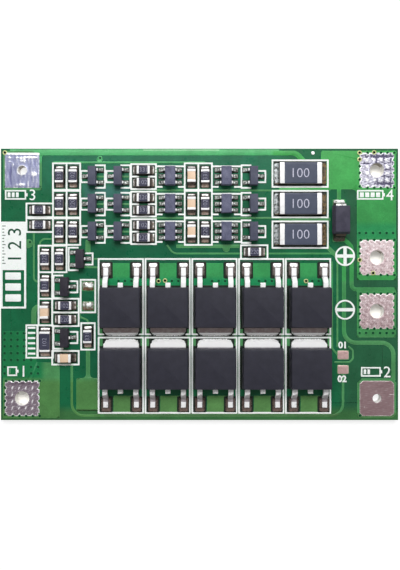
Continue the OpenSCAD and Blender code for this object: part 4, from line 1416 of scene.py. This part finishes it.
@dataclass(frozen=True)
class FluxFilm:
    """Dark film round a kind of part: partly dried flux, partly painted shade round and under it.
    """

    name: str
    nodes: tuple[str, ...]
    beyond: float
    corner: float = 0.09
    thick: float = 0.012
    wave: float = 0.02

    def build(self) -> None:
        """Builds one film with a wavy edge under each solid of the nodes."""
        form = Form()
        top = LEVELS.coat + self.thick
        profile = ((0.0, LEVELS.core - 0.01), (0.0, LEVELS.coat), (0.03, top), (0.12, top))
        every = [solid for node in self.nodes for solid in solids(node)]
        for index, solid in enumerate(every):
            middle = solid.middle[:2]
            rings = inset_rings(solid.size[:2] / 2 + self.beyond, middle, profile, self.corner)
            for ring in rings:
                x, y = ring[:, :2].T * 3
                wave = 1 + self.wave * ripple(x, y, 0.8, 1.7 * (index + 1))
                ring[:, :2] = middle + (ring[:, :2] - middle) * wave[:, None]
            form.loft(rings)
        settle(form.piece(self.name, FLUX_SHADE), "solder")


@dataclass(frozen=True)
class Case:
    """A moulded case: drafted sides, round edges and a shallow pin mark."""

    corner: float = 0.08
    edge: float = 0.07
    draft: float = 7.0
    parting: float = 0.45
    lip: float = 0.012
    lip_height: float = 0.02
    foot: float = 0.03
    mark: float = 0.0
    mark_place: Place = (0.0, 0.0)
    mark_profile: Profile = ((1.12, 0.0), (1.0, -0.012), (0.9, -0.045), (0.4, -0.05))

    def add(self, form: Form, solid: Solid) -> None:
        """Adds the case of one solid.

        Args:
            form: The form that takes it.
            solid: The case's CAD solid.
        """
        low, high, middle = solid.low[2], solid.high[2], solid.middle[:2]
        half = solid.size[:2] / 2
        slant = math.tan(math.radians(self.draft))
        split = low + (high - low) * self.parting
        lower, upper = (split - low) * slant, (high - split) * slant
        lip, foot = self.lip, self.foot
        profile = [(lower + foot, low), (lower, low + foot), (lip, split - self.lip_height),
                   (0, split - lip), (0, split + lip), (lip, split + self.lip_height)]
        for step in range(4):
            turn = math.radians(30 * step)
            profile.append((upper - self.edge * 0.1 + self.edge * (1 - math.cos(turn)),
                            high - self.edge * (1 - math.sin(turn))))
        rings = inset_rings(half, middle, profile, self.corner)
        if self.mark:
            place = middle + np.array(self.mark_place) * half
            turn = np.arctan2(*(rings[-1][:, :2] - place).T[::-1])
            way = np.stack([np.cos(turn), np.sin(turn)], 1)
            for part, z in self.mark_profile:
                rings.append(np.column_stack([place + way * (self.mark * part),
                                              np.full(len(way), high + z)]))
        form.loft(rings)


@dataclass(frozen=True)
class Chips:
    """Rectangular chips: a core with a plated cap over each end."""

    bodies: tuple[str, ...]
    caps: str
    name: str
    finishes: tuple[Finish, ...]
    slot: str
    cap: float = 0.4
    glazed: bool = True
    glaze_over: float = 0.1
    glaze: Profile = ((0.02, -0.055), (0.015, -0.02), (0.05, 0.006), (0.12, 0.018), (0.3, 0.024))
    end_profile: Profile = ((-1.0, 0.0), (-0.85, -0.012), (0.0, -0.008), (0.62, -0.012),
                            (0.86, 0.008), (0.97, 0.04), (1.0, 0.09))

    def core(self, form: Form, solid: Solid) -> None:
        """Adds one chip's core, with its glaze where it has one.

        Args:
            form: The form that takes it.
            solid: The chip's CAD solid.
        """
        half = solid.size[:2] / 2
        low, high, middle = solid.low[2], solid.high[2], solid.middle[:2]
        form.paint = 0
        if not self.glazed:
            profile = ((0.04, low), (0.0, low + 0.05), (0.0, high - 0.07), (0.02, high - 0.02),
                       (0.07, high))
            form.loft(inset_rings(half, middle, profile, 0.06, 3))
            return
        form.loft([rounded_ring((half[0], half[1] - 0.01), 0.02, low, middle, 2),
                   *inset_rings(half, middle, ((0.0, low + 0.02), (0.0, high - 0.05)), 0.02, 2)])
        form.paint = 1
        half[int(half[1] > half[0])] -= self.cap - self.glaze_over
        profile = ((inset, high + z) for inset, z in self.glaze)
        form.loft(inset_rings(half, middle, profile, 0.06, 3))

    def end(self, form: Form, solid: Solid, seed: float) -> None:
        """Adds one plated cap: round edges, a swollen face and a wavy inner rim.

        Args:
            form: The form that takes it.
            solid: The cap's CAD solid.
            seed: Makes its rim differ from its neighbours'.
        """
        half, middle = solid.size / 2, solid.middle
        axis = int(np.argmin(half[:2]))
        cross = 1 - axis
        cores = [core.middle for node in self.bodies for core in solids(node)]
        near = min(cores, key=lambda core: float(np.hypot(*(core - middle)[:2])))
        outward = 1.0 if middle[axis] > near[axis] else -1.0
        rings = []
        for part, inset in self.end_profile:
            flat = rounded_ring((half[cross] - inset, half[2] - inset), 0.07, 0.0, steps=3)
            ring = np.zeros_like(flat)
            ring[:, cross] = middle[cross] + flat[:, 0]
            ring[:, 2] = middle[2] + flat[:, 1]
            along = part * half[axis]
            if part < -0.5:
                along = along + 0.03 * np.sin(flat[:, 0] * 7 + seed)
            ring[:, axis] = middle[axis] + outward * along
            rings.append(ring)
        if (outward > 0) == (axis == 1):
            rings = [ring[::-1] for ring in rings]
        form.loft(rings)

    def build(self) -> None:
        """Builds the cores, one piece per node, and the caps."""
        for node in self.bodies:
            form = Form()
            for solid in solids(node):
                self.core(form, solid)
            ending = f"_core_{node.rsplit('_', 1)[-1]}" if len(self.bodies) > 1 else "_cores"
            settle(form.piece(self.name + ending, *self.finishes), self.slot, node)
        form = Form()
        for index, solid in enumerate(solids(self.caps)):
            self.end(form, solid, 1.9 * index)
        settle(form.piece(f"{self.name}_ends", END), "end_metal", self.caps)


@dataclass
class Board:
    """The bare board: coated glass fibre, coated copper, print and bare lands."""

    copper_rounding: float = 0.045
    edge_rounding: float = 0.05
    spare_dome: float = 0.2
    spare_round: float = 0.6
    test_dome: float = 0.05
    test_round: float = 0.3
    rows: int = 25
    columns: int = 21

    def build(self) -> None:
        """Dresses the board's layers and tins its bare lands."""
        dress("laminate", GLASS, rounding=self.edge_rounding)
        for node, coat in (("top_copper", COPPER), ("bottom_copper", UNDER)):
            dress(node, coat, RIM, rounding=self.copper_rounding, steps=1, turn=60)
        dress("legend", INK)
        form = Form()
        for index, solid in enumerate(solids("bare_lands")):
            self.bare_land(form, solid, index)
        settle(form.piece("tinned_bare_lands", BARE, SPARE_TIN, crease=60), "tin", "bare_lands")

    def bare_land(self, form: Form, solid: Solid, index: int) -> None:
        """Adds a bare land as an uneven tinned plate; the two left ones are domed solder.

        Args:
            form: The form that takes it.
            solid: The land's CAD solid.
            index: Its number.
        """
        half, middle = solid.size[:2] / 2, solid.middle
        spare = middle[0] < 0
        dome, border = ((self.spare_dome, self.spare_round) if spare
                        else (self.test_dome, self.test_round))
        s, t = np.meshgrid(np.linspace(-1, 1, self.rows), np.linspace(-1, 1, self.columns),
                           indexing="ij")
        most, pinch = squared(s, t, 8)
        x, y = s * pinch * half[0], t * pinch * half[1]
        swell = quarter_round((1 - most) * half.min(), border)
        tall = swell * (1 + 0.35 * ripple(x, y, 0.8, index * 2.2)) * dome + 0.01
        tones = None
        if spare:
            # On the spare lands a painted highlight lies up and to the right, and the tone falls
            # towards -Y: painted shade on the lower side, partly flux.
            painted_highlight = spot(s, t, (0.25, 0.3), (0.6, 0.42), -0.3)
            tones = 0.5 + 0.3 * ripple(x, y, 0.7, index * 1.3) + 0.7 * painted_highlight
            tones = np.clip(tones - 0.8 * np.clip(-t - 0.1, 0, 0.6), 0, 1)
        form.paint = int(spare)
        form.relief(np.stack([middle[0] + x, middle[1] + y, LEVELS.coat + tall], -1),
                    solid.low[2], tones)


@dataclass
class Vias:
    """Plated vias: open ones with a pale ring, a filled one, and ones that the coat covers."""

    open_places: tuple[Place, ...] = (
        (-29.34, 19.85), (24.13, 19.83), (26.32, 19.88), (24.13, 18.82), (24.13, 3.67),
        (26.17, 1.70), (-6.18, 0.50), (-5.20, 0.57), (16.06, 0.50))
    filled_place: Place = (17.12, 19.8)
    covered_x: tuple[float, ...] = (24.13, 25.11, 26.17, 27.22, 28.21, 29.19)
    covered_y: tuple[float, ...] = (7.74, -7.35)
    array_x: tuple[float, ...] = (-29.41, -28.43, -27.45, -26.47)
    array_y: tuple[float, ...] = (-7.39, -8.37, -9.35, -10.39, -11.42)
    lone: tuple[Place, ...] = (
        (-25.41, -11.42), (-29.41, -12.47), (-25.41, -12.47), (-24.36, -12.47),
        (-29.41, -13.45), (-25.41, -13.45), (-24.36, -13.45), (-15.0, 19.05), (-25.57, 6.38),
        (-29.3, 14.72), (-24.15, 14.72), (24.2, -19.8), (11.6, 17.1), (-6.6, 17.1))
    lands: tuple[str, ...] = ("battery_plus", "load_plus", "load_minus", "battery_minus")
    feet: tuple[Place, ...] = ((-0.45, 0.5), (0.53, 0.5), (1.5, 0.5))
    apart: float = 0.6
    around: int = 20
    ring: Profile = ((0.34, -0.02), (0.34, 0.085), (0.3, 0.1), (0.24, 0.1), (0.2, 0.09),
                     (0.196, 0.06))
    well: Profile = ((0.194, -0.01), (0.194, 0.08), (0.1, 0.075))
    dome: Profile = ((0.26, -0.05), (0.26, 0.03), (0.2, 0.05), (0.1, 0.055))
    collar: Profile = ((0.34, -0.03), (0.33, 0.004), (0.28, 0.02), (0.22, 0.026),
                       (0.19, 0.012), (0.18, 0.004))
    plug: Profile = ((0.185, -0.03), (0.185, 0.008), (0.12, 0.005), (0.06, 0.005))

    def covered(self) -> list[Place]:
        """Finds the covered vias' places, clear of the open ones and of each other.

        Returns:
            The places.
        """
        places = [(x, y) for y in self.covered_y for x in self.covered_x]
        places += [(x, y) for y in self.array_y for x in self.array_x] + list(self.lone)
        for number in PowerRows.upper:
            low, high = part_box(f"power_transistor_frame_{number}")
            places += [((low.x + high.x) / 2 / MM + x, y) for x, y in self.feet]
        for land in self.lands:
            low, high = (np.array(corner[:2]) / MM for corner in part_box(f"terminal_{land}"))
            middle = (low + high) / 2
            for step in range(VIAS_A_SIDE):
                along = VIA_ROW[0] + VIA_ROW[1] * step
                places += [(low[0], middle[1] + along), (middle[0] + along, low[1]),
                           (middle[0] + along, high[1])]
        clear: list[Place] = []
        for place in places:
            if all(math.dist(place, other) > self.apart for other in [*self.open_places, *clear]):
                clear.append(place)
        return clear

    def turn(self, form: Form, paint: int, place: Place, base: float, way: float,
             profile: Profile) -> None:
        """Adds a turned shape.

        Args:
            form: The form that takes it.
            paint: Number of its finish.
            place: Its middle.
            base: Height that it stands on.
            way: 1 on the upper face and -1 on the lower one.
            profile: Radius and height of each ring, from the outside in.
        """
        form.paint = paint
        rings = [circle(radius, base + way * height, self.around, place)
                 for radius, height in profile]
        form.loft(rings if way > 0 else [ring[::-1] for ring in rings])

    def build(self) -> None:
        """Builds the vias on both faces."""
        form = Form()
        for place in self.open_places:
            self.turn(form, 0, place, LEVELS.coat, 1.0, self.ring)
            self.turn(form, 1, place, LEVELS.coat, 1.0, self.well)
        self.turn(form, 2, self.filled_place, LEVELS.coat, 1.0, self.dome)
        settle(form.piece("open_vias", GOLD, WELL, LEAD), "tin")
        for name, coat, base, way in (("covered_vias", COPPER, LEVELS.coat, 1.0),
                                      ("covered_vias_under", UNDER, LEVELS.under_coat, -1.0)):
            form = Form()
            for place in self.covered():
                self.turn(form, 0, place, base, way, self.collar)
                self.turn(form, 1, place, base, way, self.plug)
            settle(form.piece(name, coat, PLUG), "coated_copper")


@dataclass(frozen=True)
class Column:
    """Equal printed patches one above the other; every third may be longer."""

    low: Place
    size: Place
    pitch: float
    count: int
    corner: float = 0.05
    longer: float = 0.0

    def patches(self) -> list[tuple[Place, Place]]:
        """Places the patches.

        Returns:
            The lower and the upper corner of each.
        """
        left, near = self.low
        corners = []
        for step in range(self.count):
            length = self.size[0] + (0.0 if step % 3 else self.longer)
            low = near + step * self.pitch
            corners.append(((left, low), (left + length, low + self.size[1])))
        return corners


@dataclass
class Marks:
    """Printed marks: plain numbers and signs of cells in the places of the labels."""

    taps: tuple[tuple[int, float, float, float], ...] = (
        (3, -27.0, 13.5, 4.7), (4, 26.5, 13.5, 5.5), (1, -27.5, -13.1, 3.0), (2, 26.6, -13.2, 4.5))
    tap_height: float = 1.65
    tests: tuple[tuple[str, Place], ...] = (("01", (21.5, -9.15)), ("02", (21.5, -14.25)))
    test_height: float = 1.05
    fields: tuple[Column, ...] = (Column((-29.3, -2.6), (2.35, 1.1), 1.65, 3, 0.15),
                                  Column((-25.9, -10.6), (1.15, 0.3), 0.78, 6))
    label: tuple[tuple[str, Place], ...] = (
        ("1", (-27.9, 3.9)), ("2", (-27.9, 5.9)), ("3", (-27.9, 7.9)))
    label_height: float = 2.0
    ruler: Column = Column((-29.75, 3.1), (0.3, 0.12), 0.47, 13, 0.03, 0.2)
    line: float = 0.22

    def plate(self, form: Form, low: Place, high: Place, z: Place, corner: float = 0.05) -> None:
        """Adds a printed patch with round corners.

        Args:
            form: The form that takes it.
            low: Lower corner.
            high: Upper corner.
            z: Underside and top of the ink.
            corner: Radius of its corners.
        """
        half = ((high[0] - low[0]) / 2, (high[1] - low[1]) / 2)
        middle = ((high[0] + low[0]) / 2, (high[1] + low[1]) / 2)
        profile = ((0.0, z[0]), (0.0, z[1] - 0.004), (0.01, z[1]))
        form.loft(inset_rings(half, middle, profile, corner, 3))

    def write(self, form: Form, text: str, height: float, place: Place, z: Place,
              degrees: float = 0.0, bold: float = 0.0) -> None:
        """Adds digits of this height with their middle at a place."""
        points, faces = lettering(text, height, z[1] - z[0], bold)
        form.add(turned(points, degrees) + np.array([*place, z[0]]), faces)

    def cell_gauge(self, form: Form, low: Place, high: Place, bars: int, z: Place) -> None:
        """Adds a cell's outline with a number of bars in it.

        Args:
            form: The form that takes it.
            low: Lower corner.
            high: Upper corner.
            bars: Number of bars.
            z: Underside and top of the ink.
        """
        w = self.line
        (left, near), (right, far) = low, high
        third = (far - near) / 3
        for patch in (((left, near), (right, near + w)), ((left, far - w), (right, far)),
                      ((left, near + w), (left + w, far - w)),
                      ((right - w, near + w), (right, far - w)),
                      ((right, near + third), (right + 0.2, far - third))):
            self.plate(form, *patch, z)
        pitch = (right - left - 2 * w - 0.3) / 4
        for index in range(bars):
            x = left + w + 0.2 + index * pitch
            self.plate(form, (x, near + w + 0.15), (x + pitch - 0.2, far - w - 0.15), z)

    def build(self) -> None:
        """Builds the marks in light ink and in dark ink."""
        ink = (LEVELS.core, LEVELS.ink)
        form = Form()
        tall = self.tap_height / 2 - 0.1
        for number, x, y, width in self.taps:
            self.write(form, str(number), self.tap_height, (x + width / 2 - 0.55, y), ink)
            self.cell_gauge(form, (x - width / 2, y - tall), (x + width / 2 - 1.5, y + tall),
                            number, ink)
        for text, place in self.tests:
            self.write(form, text, self.test_height, place, ink, bold=0.035)
        for column in self.fields:
            for low, high in column.patches():
                self.plate(form, low, high, ink, column.corner)
        settle(form.piece("printed_marks", INK), "print_ink")
        over = (LEVELS.ink, LEVELS.ink + 0.006)
        form = Form()
        for text, place in self.label:
            self.write(form, text, self.label_height, place, over, 90)
        for low, high in self.ruler.patches():
            self.plate(form, low, high, over, self.ruler.corner)
        settle(form.piece("dark_marks", DARK_INK), "coated_board")


@dataclass
class PowerRows:
    """The two rows of power transistors: frames, cases and solder."""

    upper: range = range(1, 6)
    numbers: range = range(1, 11)
    case: Case = Case(corner=0.16, edge=0.14, parting=0.455)
    frame_rounding: float = 0.06

    def build(self) -> None:
        """Dresses the frames and builds a case over each, then the solder."""
        bodies = tuple(f"power_transistor_body_{number}" for number in self.numbers)
        for number, node in zip(self.numbers, bodies):
            dress(f"power_transistor_frame_{number}", FRAME, rounding=self.frame_rounding)
            form = Form()
            self.case.add(form, solids(node)[0])
            settle(form.piece(f"power_case_{number}", POWER_MOULD), "black_mould", node)
        Fillets("power_transistor_solder", "power_solder", (POWER_SOLDER, TAB_SOLDER), bead=0.06,
                pitch=0.1, wide_from=3.0).build()
        FluxFilm("power_flux_and_shade", ("power_transistor_solder", *bodies), 0.24, corner=0.2).build()


@dataclass
class SmallPackages:
    """Small transistors and controllers: cases, gull-wing leads and solder."""

    kinds: tuple[str, ...] = ("protector", "balancer")
    of_a_kind: int = 3
    small_case: Case = Case()
    control_case: Case = Case(mark=0.16, mark_place=(-0.45, 0.72))
    lead_rounding: float = 0.02
    dark_left_of: float = -16.5

    def build(self) -> None:
        """Builds the cases, dresses the leads and adds the solder."""
        for kind in self.kinds:
            for number in range(1, self.of_a_kind + 1):
                node = f"{kind}_body_{number}"
                form = Form()
                self.control_case.add(form, solids(node)[0])
                settle(form.piece(f"{kind}_case_{number}", CONTROL_MOULD), "grey_mould", node)
        form = Form()
        for solid in solids("small_transistor_bodies"):
            form.paint = int(solid.middle[0] < self.dark_left_of)
            self.small_case.add(form, solid)
        settle(form.piece("small_transistor_cases", SMALL_MOULD, DARK_MOULD), "grey_mould",
               "small_transistor_bodies")
        for node in ("controller_leads", "small_transistor_leads"):
            dress(node, SMALL_LEAD, rounding=self.lead_rounding, steps=1)
        Fillets("small_package_solder", "small_package_fillets", (LEAD_SOLDER,),
                pitch=0.07).build()
        FluxFilm("small_package_flux_and_shade", ("small_package_solder",), 0.08).build()


@dataclass
class Diode:
    """The moulded diode with its two wrapped leads."""

    case: Case = Case(corner=0.14, edge=0.12, draft=12.0)
    lead_rounding: float = 0.03

    def build(self) -> None:
        """Builds the case, dresses the leads and adds the solder."""
        form = Form()
        self.case.add(form, solids("diode_body")[0])
        settle(form.piece("diode_case", DIODE_MOULD), "black_mould", "diode_body")
        dress("diode_leads", DIODE_TIN, rounding=self.lead_rounding)
        Fillets("diode_solder", "diode_fillets", (DIODE_TIN,), bead=0.05, pitch=0.08).build()


@dataclass
class ChipParts:
    """Chip resistors, chip capacitors and sense resistors with their numbers."""

    marks: tuple[str, ...] = ("220", "102", "331")
    sense_mark: str = "100"
    mark_height: float = 0.62
    sense_mark_height: float = 1.35
    sense: tuple[str, ...] = tuple(f"sense_resistor_body_{number}" for number in (1, 2, 3))
    side: float = 1 / 0.9

    def build(self) -> None:
        """Builds cores, caps, solder, the dark flux-and-shade films and numbers."""
        Chips(("resistor_bodies",), "resistor_caps", "chip_resistor", (ALUMINA, GLAZE),
              "resistor_glaze", glaze_over=0.18).build()
        Chips(("capacitor_bodies",), "capacitor_caps", "chip_capacitor", (TAN,), "tan_ceramic",
              glazed=False).build()
        Chips(self.sense, "sense_resistor_caps", "sense_resistor", (ALUMINA, SENSE_GLAZE),
              "resistor_glaze", cap=0.75).build()
        Fillets("chip_solder", "chip_fillets", side=self.side,
                reach=((0.12, 0.18), (0.18, 0.05))).build()
        Fillets("sense_resistor_solder", "sense_resistor_fillets", (SENSE_SOLDER,), bead=0.06,
                side=self.side, spread=0.5, reach=((0.3, 0.3), (0.0, 0.0))).build()
        FluxFilm("chip_flux_and_shade", ("chip_solder", "resistor_bodies", "capacitor_bodies"), 0.19).build()
        FluxFilm("sense_resistor_flux_and_shade", ("sense_resistor_solder", *self.sense), 0.3).build()
        self.numbers()

    def numbers(self) -> None:
        """Prints a plain number on each resistor."""
        form = Form()
        for index, solid in enumerate(solids("resistor_bodies")):
            mark = self.marks[index % len(self.marks)]
            self.number(form, solid, mark, self.mark_height, -0.018)
        form.paint = 1
        for node in self.sense:
            self.number(form, solids(node)[0], self.sense_mark, self.sense_mark_height, -0.012)
        settle(form.piece("resistor_numbers", SMALL_MARK, MARK), "print_ink")

    @staticmethod
    def number(form: Form, solid: Solid, text: str, height: float, bold: float) -> None:
        """Adds a number along a resistor.

        Args:
            form: The form that takes it.
            solid: The resistor's CAD solid.
            text: The number.
            height: Height of its digits.
            bold: How much their strokes swell, or shrink below 0.
        """
        points, faces = lettering(text, height, 0.008, bold)
        degrees = 90 if solid.size[1] > solid.size[0] else 0
        place = solid.middle + np.array([0, 0, solid.size[2] / 2 + 0.023])
        form.add(turned(points, degrees) + place, faces)


# Studio

@dataclass(frozen=True)
class Softbox:
    """A soft light that faces the board."""

    name: str
    azimuth: float
    elevation: float
    radiance: float
    size: Place
    distance: float = 0.26

    def build(self) -> None:
        """Hangs the light."""
        lamp = bpy.data.lights.new(self.name, "AREA")
        lamp.shape = "RECTANGLE"
        lamp.size, lamp.size_y = self.size
        lamp.energy = self.radiance * math.pi * self.size[0] * self.size[1]
        turn, rise = math.radians(self.azimuth), math.radians(self.elevation)
        way = Vector((math.cos(turn) * math.cos(rise), math.sin(turn) * math.cos(rise),
                      math.sin(rise)))
        light = stand(self.name, lamp)
        light.location = way * self.distance
        light.rotation_mode = "QUATERNION"
        light.rotation_quaternion = (-way).to_track_quat("-Z", "Y")


@dataclass
class Studio:
    """The pale sheet, the lights and the camera over the board."""

    softboxes: tuple[Softbox, ...] = (
        Softbox("key_box", 90, 54, 9.05, (0.2, 0.11)),
        Softbox("right_box", 0, 40, 1.3, (0.12, 0.12)),
        Softbox("left_box", 180, 40, 1.0, (0.12, 0.12)),
        Softbox("near_box", 270, 45, 0.7, (0.16, 0.1)))
    camera_place: tuple[float, float, float] = (-0.96, -0.1, 81.2)
    lens: float = 33.5
    shift: float = 0.012
    sheet_half: float = 0.6
    sheet_drop: float = 1e-5
    horizon: float = 0.8
    zenith: float = 0.4
    fill: float = 0.12

    def camera(self) -> None:
        """Sets the camera straight above the board."""
        data = bpy.data.cameras.new("overhead")
        data.lens = self.lens
        data.sensor_width = 36.0
        data.shift_x = self.shift
        data.clip_start, data.clip_end = 0.005, 5.0
        camera = stand("overhead", data)
        camera.location = [value * MM for value in self.camera_place]
        bpy.context.scene.camera = camera

    def sheet(self) -> None:
        """Lays the pale sheet under the board."""
        mesh = bpy.data.meshes.new("sheet")
        corners = [(x * self.sheet_half, y * self.sheet_half, -self.sheet_drop)
                   for x, y in ((-1, -1), (1, -1), (1, 1), (-1, 1))]
        mesh.from_pydata(corners, [], [(0, 1, 2, 3)])
        mesh.materials.append(Sheet("pale_sheet").material())
        stand("sheet", mesh)

    def sky(self) -> None:
        """Wires the room: white where it is seen, dimmer overhead and as a light."""
        world = bpy.data.worlds.new("room")
        bpy.context.scene.world = world
        world.use_nodes = True
        room = Wiring(world.node_tree)
        _, _, up = room.axes(room.node("TexCoord").outputs["Generated"])
        light = room.span(up, 0.1, 0.8, self.horizon, self.zenith)
        path = room.node("LightPath").outputs
        glossy = room.mix(path["Is Glossy Ray"], self.fill, light)
        passed = room.mix(path["Is Transmission Ray"], glossy, 1.0)
        strength = room.mix(path["Is Camera Ray"], passed, 1.0)
        back = room.node("Background", {"Color": WHITE, "Strength": strength})
        room.node("OutputWorld", (back.outputs[0],))

    def build(self) -> None:
        """Builds the studio."""
        self.camera()
        self.sheet()
        self.sky()
        for softbox in self.softboxes:
            softbox.build()
        bpy.context.scene.view_settings.view_transform = "Standard"


def main() -> None:
    """Builds the studio and every sub-assembly."""
    logging.basicConfig(level=logging.INFO, format="%(message)s")
    for part in (
            Studio(), Board(),
            WireLand("terminal_tap_high", 1.3, Facing.STREAKED, BLUE_TIN,
                     Rim(0.9, 0.03, 0.07, 0.4, 0.1, broken=True), scalloped=False),
            WireLand("terminal_battery_plus", 2.15, Facing.GROOVED, LILAC_TIN),
            WireLand("terminal_load_plus", 2.15, Facing.MOTTLED, PINK_TIN),
            WireLand("terminal_load_minus", 2.15, Facing.MOTTLED, ROSE_TIN),
            WireLand("terminal_battery_minus", 2.15, Facing.DOTTED, MAUVE_TIN),
            WireLand("terminal_tap_low", 1.3, Facing.SCRATCHED, BROWN_TIN,
                     Rim(outline=0.3, outline_width=0.09), scalloped=False, cut=0.45),
            Vias(), Marks(), PowerRows(), SmallPackages(), Diode(), ChipParts()):
        part.build()


if __name__ == "__main__":
    main()
